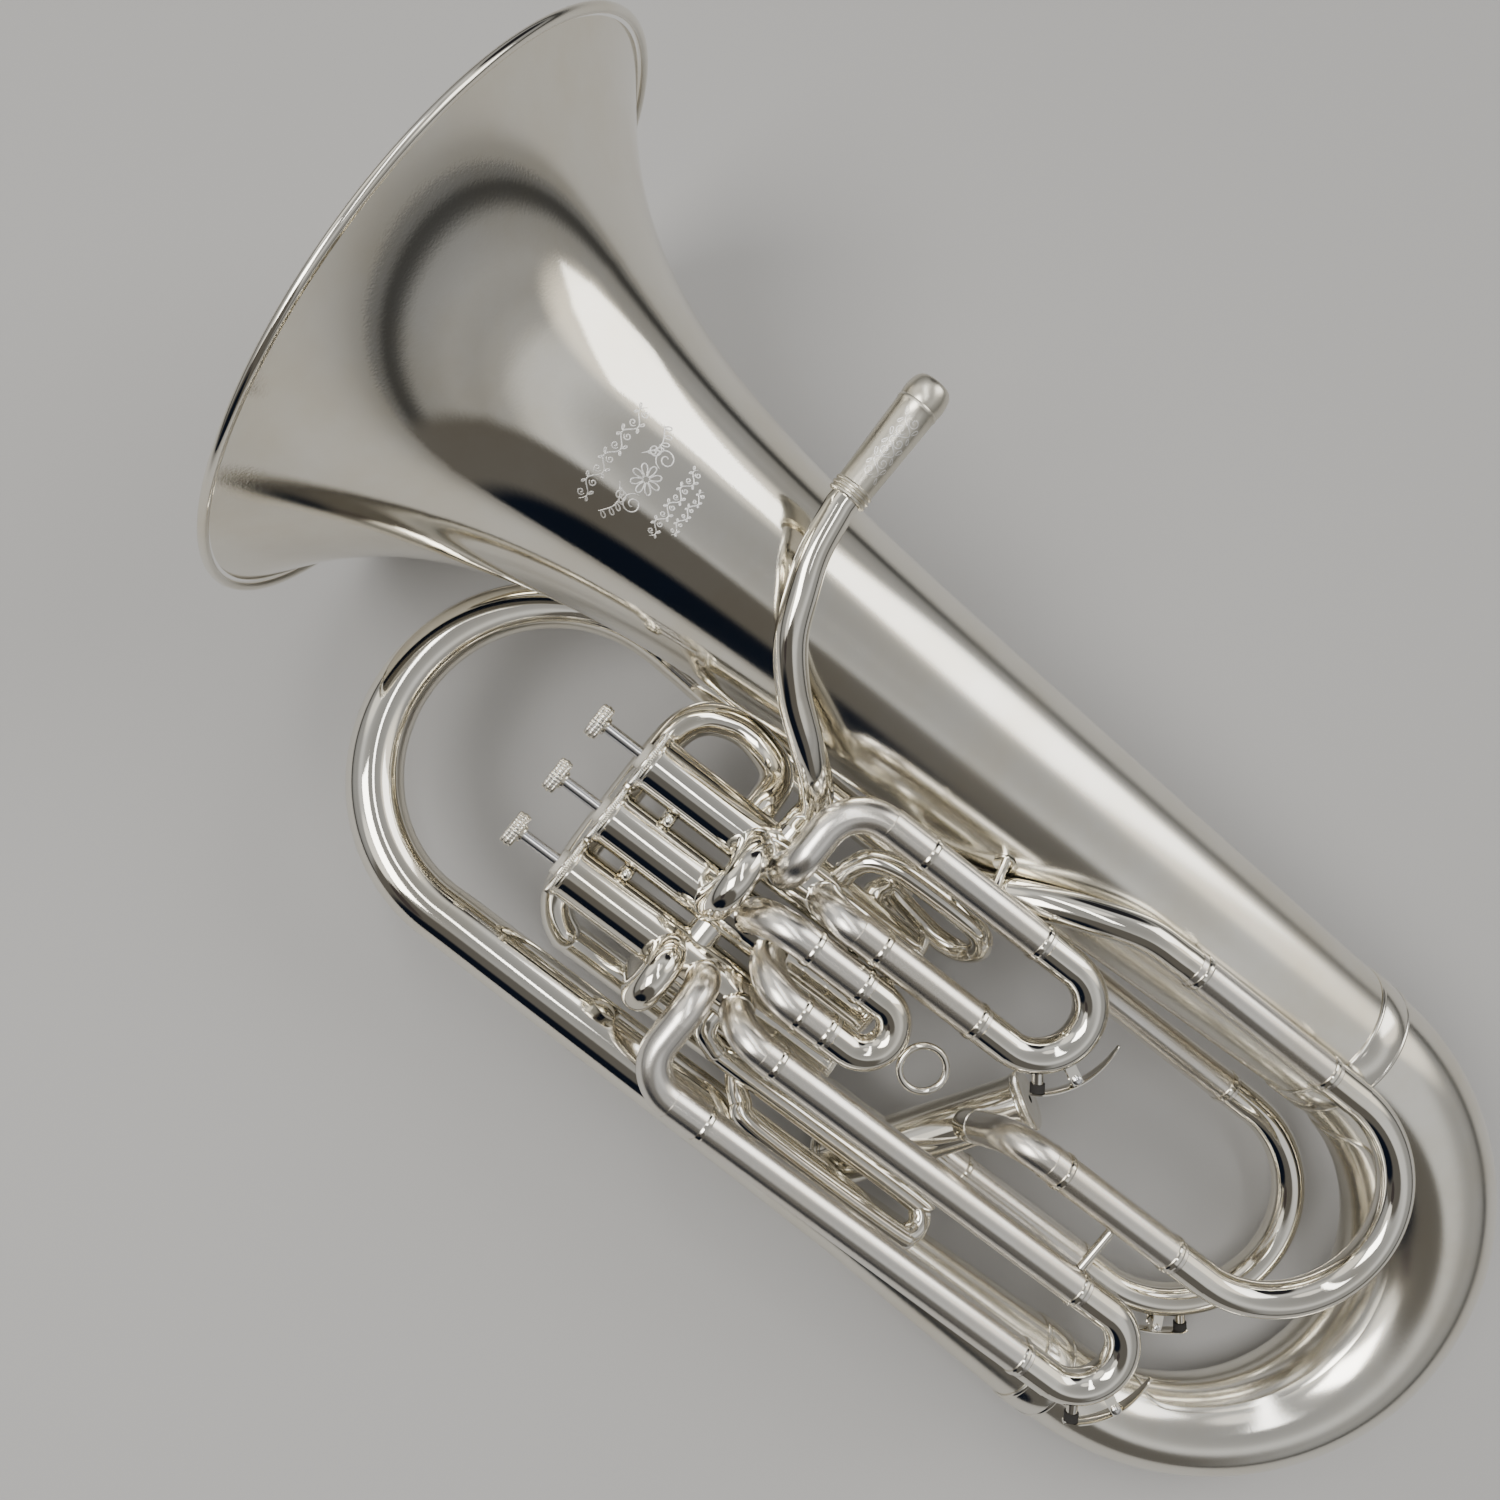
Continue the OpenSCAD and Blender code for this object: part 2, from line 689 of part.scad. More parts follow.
ring_big_r = 10.7;
ring_wire_r = 1.7;
module second_slide_ring() {
    mid = (second_x[0] + second_x[1]) / 2;
    low = second_bow_z + (second_x[0] - second_x[1]) / 2 + tube_r;
    color(SILVER) lay()
        translate([mid, slide_y, low + 0.05 + ring_big_r + ring_wire_r])
            rotate([90, 0, 0])
                rotate_extrude()
                    translate([ring_big_r, 0]) circle(r = ring_wire_r, $fn = 32);
}

third_bend = 20;
module third_slide_legs() {
    turn_a = reach_to(2, third_x[0]) - stub_end;
    across = valve_x[2] - third_x[1] - first_turn - third_bend;
    color(SATIN) lay() {
        from_port(2, toward(2, third_x[0]), third_a_z) run([[turn_a, 90, 180]]);
        leg(third_x[0], slide_y, third_a_z + turn_a, third_ring);
        from_port(2, 90, 279) run([[first_turn, 90, 90], [across], [third_bend, 90, 90]]);
        leg(third_x[1], slide_y, 279 + third_bend, third_ring);
    }
}

module third_slide_bow() {
    color(SILVER) lay() slide_bow(third_x, slide_y, third_ring, third_bow_z, 100);
}

neck_bend = 18;
module main_slide_legs() {
    start = v4_at(neck_x)[2] + neck_bend;
    span = norm([main_x[1] - neck_x, main_slide_y - v4_at(neck_x)[1]]);
    color(SATIN) lay() {
        leg(main_x[0], main_slide_y, main_top, main_ring);
        leg(main_x[1], main_slide_y, start, main_ring);
        translate([main_x[1], main_slide_y, start])
            rotate([180, 0, 0])
                run([[neck_bend, 90, atan2(neck_dir[1], -neck_dir[0])], [span - neck_bend - neck_stub]]);
    }
}

module main_slide_bow() {
    color(SILVER) lay() slide_bow(main_x, main_slide_y, main_ring, main_bow_z, 65);
}

rear_bend = 20;
rear_turn = 12;
rear_port_z = 337;
module fourth_slide_legs() {
    across = fourth_x[0] - rear_bend - valve_x[1] - rear_turn;
    climb = valve_y - stub_end - fourth_slide_y - rear_turn;
    color(SATIN) lay() {
        leg(fourth_x[0], fourth_slide_y, rear_port_z + rear_bend, fourth_ring);
        translate([fourth_x[0], fourth_slide_y, rear_port_z + rear_bend])
            rotate([180, 0, 0])
                run([[rear_bend, 90, 180], [across], [rear_turn, 90, 90], [climb]]);
        leg(fourth_x[1], fourth_slide_y, v4_at(fourth_x[1])[2] + side_stub, fourth_ring);
    }
}

module fourth_slide_bow() {
    color(SILVER) lay() slide_bow(fourth_x, fourth_slide_y, fourth_ring, fourth_bow_z, 70);
}

// ---- compensating tubing ----
module compensating_loops() {
    ends = [[port_at(0, 15, 302, 0.1), port_at(0, -35, 322, 0.1)],
        [port_at(1, -90, 262, 0.1), port_at(1, -90, 298, 0.1)],
        [port_at(2, 180, 296, 0.1), port_at(2, 222, 320, 0.1)]];
    ways = [
        [port_at(0, 15, 302, 2), [-71, 27, 306], [-66, 29.5, 316], [-64.5, 30, 330], [-64.5, 29, 358],
            [-67, 24, 371], [-73.5, 16, 377], [-80, 7, 373], [-82, 2, 363], [-80.5, 0, 349],
            [-78.5, 0.5, 336], [-77, 3, 327], port_at(0, -35, 322, 2)],
        [port_at(1, -90, 262, 2), [valve_x[1], -8.5, 264.5], [valve_x[1], -13.5, 272],
            [valve_x[1], -14, 280], [valve_x[1], -13.5, 288], [valve_x[1], -8.5, 295.5],
            port_at(1, -90, 298, 2)],
        [port_at(2, 180, 296, 2), [-184.5, 16.5, 299.5], [-189, 13, 309], [-190, 12, 322],
            [-190, 13, 430], [-192.5, 14.5, 438.5], [-198, 17, 441.5], [-203.5, 19.5, 438.5],
            [-206, 21, 430], [-206, 20, 348], [-201.5, 15, 334], [-193, 6, 325],
            port_at(2, 222, 320, 8), port_at(2, 222, 320, 2)]];
    color(SILVER) lay()
        for (i = [0:2]) {
            P = concat([ends[i][0]], spline(ways[i], 3), [ends[i][1]]);
            swept_tube(P, blend(loop_r, loop_r, len(P) - 1), 0.6, [0, 0.6, 0.8], 10);
        }
}

module fourth_return_tube() {
    low = v4_at(return_x);
    way = [port_at(0, -33, 254, 3), [-72, -1.5, 254], [-65.5, -8, 249], [-62, -14, 238],
        [-61.5, -16.5, 225], [-67, -17, 211], [-78, -16.5, 203], [-95, -16, 201], [-130, -17.5, 201],
        [-163, -20.5, 202], [-184, -22, 206], [return_x + 2, -22.5, 219], [return_x, low[1], 240],
        [return_x, low[1], 375],
        [return_x, low[1], low[2] - side_stub - 4]];
    P = concat([port_at(0, -33, 254, 0.1)], spline(way, 3), [[return_x, low[1], low[2] - side_stub - 0.1]]);
    color(SILVER) lay() swept_tube(P, blend(tube_r, tube_r, len(P) - 1), wall, [0, 0.6, 0.8], 16);
}

// ---- ferrules ----
module tube_ferrules() {
    color(SILVER) lay() {
        for (f = [[first_x[0], slide_y, 318, first_ring - 5], [first_x[1], slide_y, 328, first_ring - 5],
                [second_x[0], slide_y, 304, second_ring - 5], [second_x[1], slide_y, 318, second_ring - 5],
                [third_x[0], slide_y, 324, third_ring - 5], [third_x[1], slide_y, 316, third_ring - 5],
                [main_x[0], main_slide_y, 449, main_ring - 5], [main_x[1], main_slide_y, 460, main_ring - 5],
                [fourth_x[0], fourth_slide_y, 420, fourth_ring - 5],
                [fourth_x[1], fourth_slide_y, 456, fourth_ring - 5]],
            z = [f[2], f[3]])
            translate([f[0], f[1], z])
                rotate_extrude()
                    polygon([[leg_r + 0.02, 0], [leg_r + 0.45, 0], [leg_r + 0.7, 0.8],
                        [leg_r + 0.7, 2.2], [leg_r + 0.45, 3], [leg_r + 0.02, 3]]);
    }
}

// ---- water keys ----
// Each key: [bow, bow depth, height, cork angle, pivot angle, lever-tip angle]; the angles
// run round the slide bow from its right leg
first_key = [first_x, first_bow_z, slide_y, 142, 115, 79];
third_key = [third_x, third_bow_z, slide_y, 145, 112, 79];
fourth_key = [fourth_x, fourth_bow_z, fourth_slide_y, 138, 149, 162];
pin_r = 1;
key_lift = tube_r + 8.6;
pivot_lift = tube_r + 5.6;

module at_bow(key) {
    translate([(key[0][0] + key[0][1]) / 2, key[2], key[1]]) rotate([90, 0, 0]) children();
}
function key_bow_r(key) = (key[0][0] - key[0][1]) / 2;

module key_saddle(key) {
    R = key_bow_r(key);
    color(SILVER) lay() at_bow(key)
        difference() {
            union() {
                rotate([0, 0, key[4]])
                    for (s = [-1, 1])
                        translate([R + 5, -2.5, s * 4.1 - 0.6]) cube([11, 5, 1.2]);
                rotate([0, 0, key[4]])
                    translate([R + pivot_lift, 0, -5.6]) cylinder(r = pin_r, h = 11.2, $fn = 32);
                rotate([0, 0, key[3]])
                    translate([R + 5, 0, 0]) rotate([0, 90, 0]) cylinder(r = 2.7, h = tube_r - 0.4, $fn = 48);
            }
            rotate_extrude() translate([R, 0]) circle(r = tube_r + 0.02);
        }
}

module key_lever(key) {
    R = key_bow_r(key);
    lo = min(key[3], key[5]);
    span = abs(key[3] - key[5]);
    extra = 3.4 / (R + key_lift) * 180 / PI;
    color(SILVER) lay() at_bow(key)
        difference() {
            union() {
                rotate([0, 0, lo - extra])
                    rotate_extrude(angle = span + 2 * extra)
                        translate([R + key_lift, -2.9]) square([1.6, 5.8]);
                rotate([0, 0, key[4]])
                    translate([R + pivot_lift - 1.8, -1.9, -2.9]) cube([5.4, 3.8, 5.8]);
            }
            rotate([0, 0, key[4]])
                translate([R + pivot_lift, 0, -6]) cylinder(r = pin_r + fit_gap, h = 12, $fn = 32);
        }
}

module key_cork(key) {
    R = key_bow_r(key);
    color(CORK) lay() at_bow(key)
        rotate([0, 0, key[3]])
            translate([R + tube_r + 4.65, 0, 0])
                rotate([0, 90, 0])
                    cylinder(r = 3.4, h = key_lift - tube_r - 4.8, $fn = 48);
}

module first_key_saddle() { key_saddle(first_key); }
module first_key_lever() { key_lever(first_key); }
module first_key_cork() { key_cork(first_key); }
module third_key_saddle() { key_saddle(third_key); }
module third_key_lever() { key_lever(third_key); }
module third_key_cork() { key_cork(third_key); }
module fourth_key_saddle() { key_saddle(fourth_key); }
module fourth_key_lever() { key_lever(fourth_key); }
module fourth_key_cork() { key_cork(fourth_key); }

// ---- braces ----
// Round post from the bell axis towards (x, y) at depth z, between two radii, with a foot
module radial_post(x, y, z, r0, r1, r) {
    translate([0, 0, z])
        rotate([0, 90, atan2(y, x)])
            translate([0, 0, r0]) {
                cylinder(r = r, h = r1 - r0);
                cylinder(r = 2.2 * r, h = 0.9);
            }
}

module braces() {
    slide_post_z = 355;
    main_post_z = 490;
    lead_post_z = 203;
    cross_post_z = 499;
    color(SILVER) lay() {
        radial_post(first_x[0], slide_y, slide_post_z, stem_radius(slide_post_z) + 0.35,
            norm([first_x[0], slide_y]) - leg_r - 0.1, 2.4);
        radial_post(main_x[0], main_slide_y, main_post_z, stem_radius(main_post_z) + 0.35,
            norm([main_x[0], main_slide_y]) - leg_r - 0.1, 2.4);
        radial_post(3, 68.5, lead_post_z, stem_radius(lead_post_z) + 0.8, 68.6 - 7.4, 2.4);
        radial_post(crook_end_x, crook_y[1], 188, stem_radius(188) + 0.9,
            norm([crook_end_x, crook_y[1]]) - 12, 2.4);
        translate([third_x[0] + leg_r + 0.1, (slide_y + main_slide_y) / 2, cross_post_z])
            rotate([0, 90, 0])
                cylinder(r = 2.2, h = main_x[1] - third_x[0] - 2 * leg_r - 0.4);
        for (i = [0, 1], z = [222, 330]) {
            translate([valve_x[i] - casing_r - 0.05, valve_y, z])
                rotate([0, -90, 0])
                    cylinder(r = 3.6, h = valve_pitch - 2 * casing_r - 0.1);
            translate([valve_x[i] - half_gap, valve_y + 6.3, z]) sphere(r = 3.15);
        }
    }
}

bell();
bell_rim_bead();
bow_ferrules();
bottom_bow();
bow_guard();
outer_branch();
top_crook();
main_tube();
tube_ferrules();
leadpipe();
mouthpiece_receiver();
valve_casing_1();
valve_casing_2();
valve_casing_3();
valve_casing_4();
valve_top_caps();
valve_bottom_caps();
valve_cap_felts();
piston_1();
piston_2();
piston_3();
piston_4();
valve_stem_1();
valve_stem_2();
valve_stem_3();
valve_stem_4();
finger_button_1();
finger_button_2();
finger_button_3();
finger_button_4();
valve_spring_1();
valve_spring_2();
valve_spring_3();
valve_spring_4();
valve_crossovers();
main_slide_legs();
main_slide_bow();
first_slide_legs();
first_slide_bow();
second_slide_legs();
second_slide_bow();
second_slide_ring();
third_slide_legs();
third_slide_bow();
fourth_slide_legs();
fourth_slide_bow();
compensating_loops();
fourth_return_tube();
first_key_saddle();
first_key_lever();
first_key_cork();
third_key_saddle();
third_key_lever();
third_key_cork();
fourth_key_saddle();
fourth_key_lever();
fourth_key_cork();
braces();
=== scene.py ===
import json
import math

import bpy
import numpy as np
from mathutils import Matrix, Vector


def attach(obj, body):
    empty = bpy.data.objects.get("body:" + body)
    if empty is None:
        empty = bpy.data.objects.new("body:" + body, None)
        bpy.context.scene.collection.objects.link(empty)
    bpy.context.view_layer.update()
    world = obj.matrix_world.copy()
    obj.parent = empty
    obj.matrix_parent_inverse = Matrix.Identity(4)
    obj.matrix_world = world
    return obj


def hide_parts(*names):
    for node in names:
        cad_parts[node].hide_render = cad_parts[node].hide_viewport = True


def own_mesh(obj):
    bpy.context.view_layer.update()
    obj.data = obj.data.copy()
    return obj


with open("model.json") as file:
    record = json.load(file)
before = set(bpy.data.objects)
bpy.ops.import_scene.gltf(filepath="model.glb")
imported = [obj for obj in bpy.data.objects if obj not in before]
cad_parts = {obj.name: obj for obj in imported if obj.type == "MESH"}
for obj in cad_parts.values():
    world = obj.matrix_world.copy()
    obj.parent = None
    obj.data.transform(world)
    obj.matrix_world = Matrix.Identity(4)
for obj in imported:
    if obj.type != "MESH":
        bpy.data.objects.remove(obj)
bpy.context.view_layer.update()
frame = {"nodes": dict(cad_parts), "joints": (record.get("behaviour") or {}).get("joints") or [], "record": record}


def named(items, name):
    return next(item for item in items if item["name"] == name)


# ---- the horn's own frame: +Z down the bell axis, +Y up towards the valves, +X to the receiver, in mm ----
receiver = named(frame["record"]["mounts"], "mouthpiece_receiver")
AX = Vector(receiver["axis"]).normalized()
AZ = Vector(named(frame["joints"], "main_slide_pull")["axis"]).normalized()
AY = AZ.cross(AX).normalized()
SOCKET_MID = Vector((90.5, 70.0, 193.0))
MM = 0.001
TURN = Matrix((AX, AY, AZ)).transposed()
SHIFT = Vector(receiver["pos_m"]) - TURN @ (SOCKET_MID * MM)
HORN = Matrix.Translation(SHIFT) @ TURN.to_4x4() @ Matrix.Scale(MM, 4)
HORN_NP = np.array(HORN)


def rest(points):
    """Points in the horn's frame, in mm, as row-frame metres."""
    p = np.asarray(points, float)
    return p @ HORN_NP[:3, :3].T + HORN_NP[:3, 3]


# ---- node material helpers ----
def link(tree, a, b):
    tree.links.new(a, b)


def node(tree, kind, **values):
    """A new node; each value goes to the property or the input socket of that name."""
    n = tree.nodes.new(kind)
    for key, value in values.items():
        if hasattr(n, key) and key not in n.inputs:
            setattr(n, key, value)
        else:
            n.inputs[key.replace("_", " ")].default_value = value
    return n


def new_material(name):
    m = bpy.data.materials.new(name)
    m.use_nodes = True
    tree = m.node_tree
    return m, tree, tree.nodes["Principled BSDF"]


def horn_coordinates(tree):
    """Object position turned into the horn's frame, in mm."""
    geometry = tree.nodes.new("ShaderNodeTexCoord")
    mapping = tree.nodes.new("ShaderNodeMapping")
    inverse = HORN.inverted()
    mapping.inputs["Location"].default_value = inverse.to_translation()
    mapping.inputs["Rotation"].default_value = inverse.to_euler()
    mapping.inputs["Scale"].default_value = inverse.to_scale()
    link(tree, geometry.outputs["Object"], mapping.inputs["Vector"])
    return mapping.outputs["Vector"]


def ramp(tree, source, stops):
    """Grey ramp through the (position, value) stops."""
    r = tree.nodes.new("ShaderNodeValToRGB")
    elements = r.color_ramp.elements
    elements[0].position, elements[1].position = stops[0][0], stops[-1][0]
    elements[0].color = (*[stops[0][1]] * 3, 1)
    elements[1].color = (*[stops[-1][1]] * 3, 1)
    for position, value in stops[1:-1]:
        elements.new(position).color = (*[value] * 3, 1)
    link(tree, source, r.inputs["Fac"])
    return r.outputs["Color"]


def map_range(tree, source, low, high, to_low, to_high, smooth=False):
    m = tree.nodes.new("ShaderNodeMapRange")
    if smooth:
        m.interpolation_type = "SMOOTHSTEP"
    m.inputs["From Min"].default_value = low
    m.inputs["From Max"].default_value = high
    m.inputs["To Min"].default_value = to_low
    m.inputs["To Max"].default_value = to_high
    link(tree, source, m.inputs["Value"])
    return m.outputs["Result"]


def mixed(tree, factor, a, b):
    """Colour a where the factor is 0 and colour b where it is 1; a may be a socket."""
    mix = tree.nodes.new("ShaderNodeMix")
    mix.data_type = "RGBA"
    link(tree, factor, mix.inputs["Factor"])
    if isinstance(a, tuple):
        mix.inputs["A"].default_value = (*a, 1)
    else:
        link(tree, a, mix.inputs["A"])
    mix.inputs["B"].default_value = (*b, 1)
    return mix.outputs["Result"]


def bumped(tree, height, strength, distance, under=None):
    """Normal raised by a height in metres, on top of another normal if one is given."""
    bump = node(tree, "ShaderNodeBump", Strength=strength)
    bump.inputs["Distance"].default_value = distance
    link(tree, height, bump.inputs["Height"])
    if under:
        link(tree, under, bump.inputs["Normal"])
    return bump.outputs["Normal"]


PLATE = (0.84, 0.812, 0.735)
TARNISH = (0.93, 0.90, 0.84)
WIPE_SHARE = 0.35


def silver(name, rough, tint=PLATE, haze=0.05, scratch=0.02, swirl=0.012, satin=None):
    """Plated silver: colour drifts a little, roughness is cloudy, with fine wipe marks and soft dents.
    satin = (from z, to z, added roughness) makes the finish duller along the horn."""
    m, tree, bsdf = new_material(name)
    at = horn_coordinates(tree)
    bsdf.inputs["Metallic"].default_value = 1.0
    cloud = node(tree, "ShaderNodeTexNoise", Scale=0.018, Detail=5.0, Roughness=0.6)
    fine = node(tree, "ShaderNodeTexNoise", Scale=0.9, Detail=4.0, Roughness=0.7)
    dents = node(tree, "ShaderNodeTexNoise", Scale=0.035, Detail=1.0)
    wipes = node(tree, "ShaderNodeTexNoise", Scale=2.6, Detail=6.0, Roughness=0.75, Distortion=1.8)
    for n in (cloud, fine, dents, wipes):
        link(tree, at, n.inputs["Vector"])
    aged = ramp(tree, cloud.outputs["Fac"], [(0.42, 0.0), (0.72, 1.0)])
    tarnished = tuple(c * share for c, share in zip(tint, TARNISH))
    link(tree, mixed(tree, aged, tint, tarnished), bsdf.inputs["Base Color"])
    clouds = node(tree, "ShaderNodeMath", operation="MULTIPLY")
    clouds.inputs[1].default_value = 1 - WIPE_SHARE
    link(tree, cloud.outputs["Fac"], clouds.inputs[0])
    marks = node(tree, "ShaderNodeMath", operation="MULTIPLY_ADD")
    marks.inputs[1].default_value = WIPE_SHARE
    link(tree, wipes.outputs["Fac"], marks.inputs[0])
    link(tree, clouds.outputs[0], marks.inputs[2])
    roughness = map_range(tree, marks.outputs[0], 0.3, 0.7, max(rough - haze, 0.01), rough + haze)
    if satin:
        start, end, added = satin
        split = node(tree, "ShaderNodeSeparateXYZ")
        link(tree, at, split.inputs["Vector"])
        duller = map_range(tree, split.outputs["Z"], start, end, 0.0, added, smooth=True)
        total = node(tree, "ShaderNodeMath", operation="ADD")
        link(tree, roughness, total.inputs[0])
        link(tree, duller, total.inputs[1])
        roughness = total.outputs[0]
    link(tree, roughness, bsdf.inputs["Roughness"])
    dented = bumped(tree, dents.outputs["Fac"], swirl, 0.002)
    link(tree, bumped(tree, fine.outputs["Fac"], scratch, 0.0004, dented), bsdf.inputs["Normal"])
    return m


def matte(name, colour, rough, grain):
    """Grainy dull material for cork and felt."""
    m, tree, bsdf = new_material(name)
    at = horn_coordinates(tree)
    bsdf.inputs["Roughness"].default_value = rough
    spots = node(tree, "ShaderNodeTexNoise", Scale=grain, Detail=6.0, Roughness=0.7)
    link(tree, at, spots.inputs["Vector"])
    dark = tuple(c * 0.6 for c in colour)
    light = tuple(min(c * 1.5, 1) for c in colour)
    link(tree, mixed(tree, spots.outputs["Fac"], dark, light), bsdf.inputs["Base Color"])
    link(tree, bumped(tree, spots.outputs["Fac"], 0.6, 0.0006), bsdf.inputs["Normal"])
    return m


BRIGHT = silver("bright_silver", 0.055, haze=0.03)
BELL = silver("bell_silver", 0.05, haze=0.03, scratch=0.03, satin=(130.0, 330.0, 0.15))
BRANCH = silver("branch_silver", 0.05, haze=0.03, scratch=0.03, satin=(230.0, 420.0, 0.16))
BOW = silver("bow_silver", 0.16, haze=0.05, scratch=0.05, swirl=0.02)
SATIN = silver("satin_silver", 0.25, tint=(0.83, 0.80, 0.745), haze=0.05, scratch=0.07)
STEEL = silver("steel", 0.16, tint=(0.78, 0.78, 0.79), haze=0.05, scratch=0.05)
CORK = matte("cork", (0.022, 0.02, 0.018), 0.8, 1.2)
FELT = matte("felt", (0.55, 0.53, 0.48), 0.95, 3.0)
RECEIVER_SILVER = silver("receiver_silver", 0.3, tint=(0.70, 0.67, 0.58), haze=0.05, scratch=0.06)
ETCH = silver("etched_silver", 0.38, tint=(0.93, 0.92, 0.89), haze=0.06, scratch=0.4)


# ---- mesh helpers ----
def finish_mesh(name, points, faces, material, body, replaced=(), angle=32):
    """A smooth-shaded piece that rides on a body and stands for the replaced CAD nodes."""
    mesh = bpy.data.meshes.new(name)
    mesh.from_pydata([tuple(p) for p in points], [], faces)
    mesh.validate()
    mesh.shade_smooth()
    mesh.set_sharp_from_angle(angle=math.radians(angle))
    o = bpy.data.objects.new(name, mesh)
    bpy.context.scene.collection.objects.link(o)
    mesh.materials.append(material)
    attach(o, body)
    if replaced:
        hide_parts(*replaced)
    return o


def grid_faces(rows, columns, offset=0, flip=False, closed_rows=False):
    """Quads over rows of points, closed round each row and, if asked, from the last row to the first."""
    faces = []
    last = rows if closed_rows else rows - 1
    for i in range(last):
        a, b = i * columns + offset, ((i + 1) % rows) * columns + offset
        for k in range(columns):
            q = (k + 1) % columns
            face = (a + k, a + q, b + q, b + k)
            faces.append(face[::-1] if flip else face)
    return faces


def carried_normals(points, first):
    """Tangents, and normals carried along the curve without twisting."""
    n = len(points)
    tangents = np.array([points[min(i + 1, n - 1)] - points[max(i - 1, 0)] for i in range(n)])
    tangents /= np.linalg.norm(tangents, axis=1)[:, None]
    normals = []
    current = np.asarray(first, float)
    for t in tangents:
        current = current - t * (current @ t)
        current /= np.linalg.norm(current)
        normals.append(current)
    return tangents, np.array(normals)


def tube(name, points, radii, wall, first, material, body="instrument", replaced=(), sides=64):
    """Hollow tube swept along points, open at both ends."""
    points = np.asarray(points, float)
    radii = np.asarray(radii, float)
    tangents, normals = carried_normals(points, first)
    binormals = np.cross(tangents, normals)
    turn = np.linspace(0, 2 * np.pi, sides, endpoint=False)
    around = (np.cos(turn)[None, :, None] * normals[:, None, :]
              + np.sin(turn)[None, :, None] * binormals[:, None, :])
    n = len(points)
    outer = (points[:, None, :] + radii[:, None, None] * around).reshape(-1, 3)
    inner = (points[:, None, :] + (radii - wall)[:, None, None] * around).reshape(-1, 3)
    m = n * sides
    faces = grid_faces(n, sides) + grid_faces(n, sides, m, flip=True)
    for k in range(sides):
        q = (k + 1) % sides
        e = (n - 1) * sides
        faces.append((m + k, m + q, q, k))
        faces.append((e + k, e + q, m + e + q, m + e + k))
    return finish_mesh(name, rest(np.vstack([outer, inner])), faces, material, body, replaced)


def lathe(name, profile, base, axis, material, body="instrument", replaced=(), sides=128,
          angle=32, radius_at=None, closed=True):
    """Turns a profile of (radius, height) about an axis of the horn's frame."""
    axis = np.asarray(axis, float)
    axis /= np.linalg.norm(axis)
    side = np.cross(axis, [0.0, 1.0, 0.0] if abs(axis[1]) < 0.9 else [1.0, 0.0, 0.0])
    side /= np.linalg.norm(side)
    other = np.cross(axis, side)
    turn = np.linspace(0, 2 * np.pi, sides, endpoint=False)
    points = []
    for r, h in profile:
        rr = np.full(sides, r) if radius_at is None else radius_at(r, h, turn)
        around = np.cos(turn)[:, None] * side + np.sin(turn)[:, None] * other
        points.append(np.asarray(base, float) + h * axis + rr[:, None] * around)
    faces = grid_faces(len(profile), sides, closed_rows=closed)
    return finish_mesh(name, rest(np.vstack(points)), faces, material, body, replaced, angle=angle)


def spline(way, n):
    """Smooth curve through the points of way, with n steps between neighbours."""
    way = [np.asarray(p, float) for p in way]
    ends = [2 * way[0] - way[1]] + way + [2 * way[-1] - way[-2]]
    out = []
    for i in range(len(way) - 1):
        a, b, c, d = ends[i:i + 4]
        for k in range(n):
            t = k / n
            square, cube = 2 * a - 5 * b + 4 * c - d, 3 * b - a - 3 * c + d
            out.append(0.5 * (2 * b + (c - a) * t + square * t * t + cube * t ** 3))
    out.append(way[-1])
    return np.array(out)


# ---- sizes shared with the CAD, in mm ----
BELL_R, BELL_LEN, STEM_R, TAPER, FLARE_LEN, WALL, BEAD = 152.4, 552.0, 37.5, 0.042, 57.0, 0.8, 2.2
FLARE_R = BELL_R - BEAD - (STEM_R + TAPER * BELL_LEN)
BEND, BRANCH_BEND, BOW_Z, SMALL_R = 116.0, 109.0, 560.0, 22.0
BRANCH_X, BRANCH_END = -BEND - BRANCH_BEND, 544.0
CROOK_BEND, CROOK_Z, CROOK_Y = 81.5, 165.0, (2.0, -48.0)
BRANCH_TOP_X, BRANCH_TOP = BRANCH_X + 7, CROOK_Z + 2
CROOK_END_X = BRANCH_TOP_X + 2 * CROOK_BEND
BIG_CROOK_R, CROOK_R, TUBE_R, LEAD_R, LOOP_R = 14.5, 11.2, 8.3, 6.9, 5.5
MAIN_X, MAIN_Y, MAIN_TOP = -17.0, 51.0, 446.0
VALVE_X = (-97.0, -128.6, -160.2)
VALVE_Y, VALVE_TOP, CASING_LEN, CASING_4_LEN = 18.0, 198.0, 154.0, 115.0
STUB_END = 15.7
V4_BOTTOM = np.array([-117.0, 3.9, 450.5])
V4_DIR = np.array([-0.87, -0.32, -0.405])
V4_DIR /= np.linalg.norm(V4_DIR)
BUTTON_RISE, BUTTON_4_RISE = 31.0, 22.0
RETURN_X = -198.5
JOINT = 9.0
RECEIVER = np.array([45.0, 70.0, 193.0])


def stem_radius(z):
    return STEM_R + TAPER * (BELL_LEN - z) + FLARE_R * math.exp(-z / FLARE_LEN)


def v4_at(x):
    return V4_BOTTOM + V4_DIR * ((x - V4_BOTTOM[0]) / V4_DIR[0])


# ---- bell, bow and branches ----
heights = np.concatenate([np.linspace(BEAD, 60, 60), np.linspace(62, BELL_LEN - JOINT, 70)])
outer = [(stem_radius(z), z) for z in heights] + [(STEM_R, BELL_LEN - JOINT + 0.3), (STEM_R, BELL_LEN)]
inner = [(r - WALL, z) for r, z in reversed(outer)]
lathe("bell_body", outer + inner, (0, 0, 0), (0, 0, 1), BELL, replaced=["bell"], sides=256)

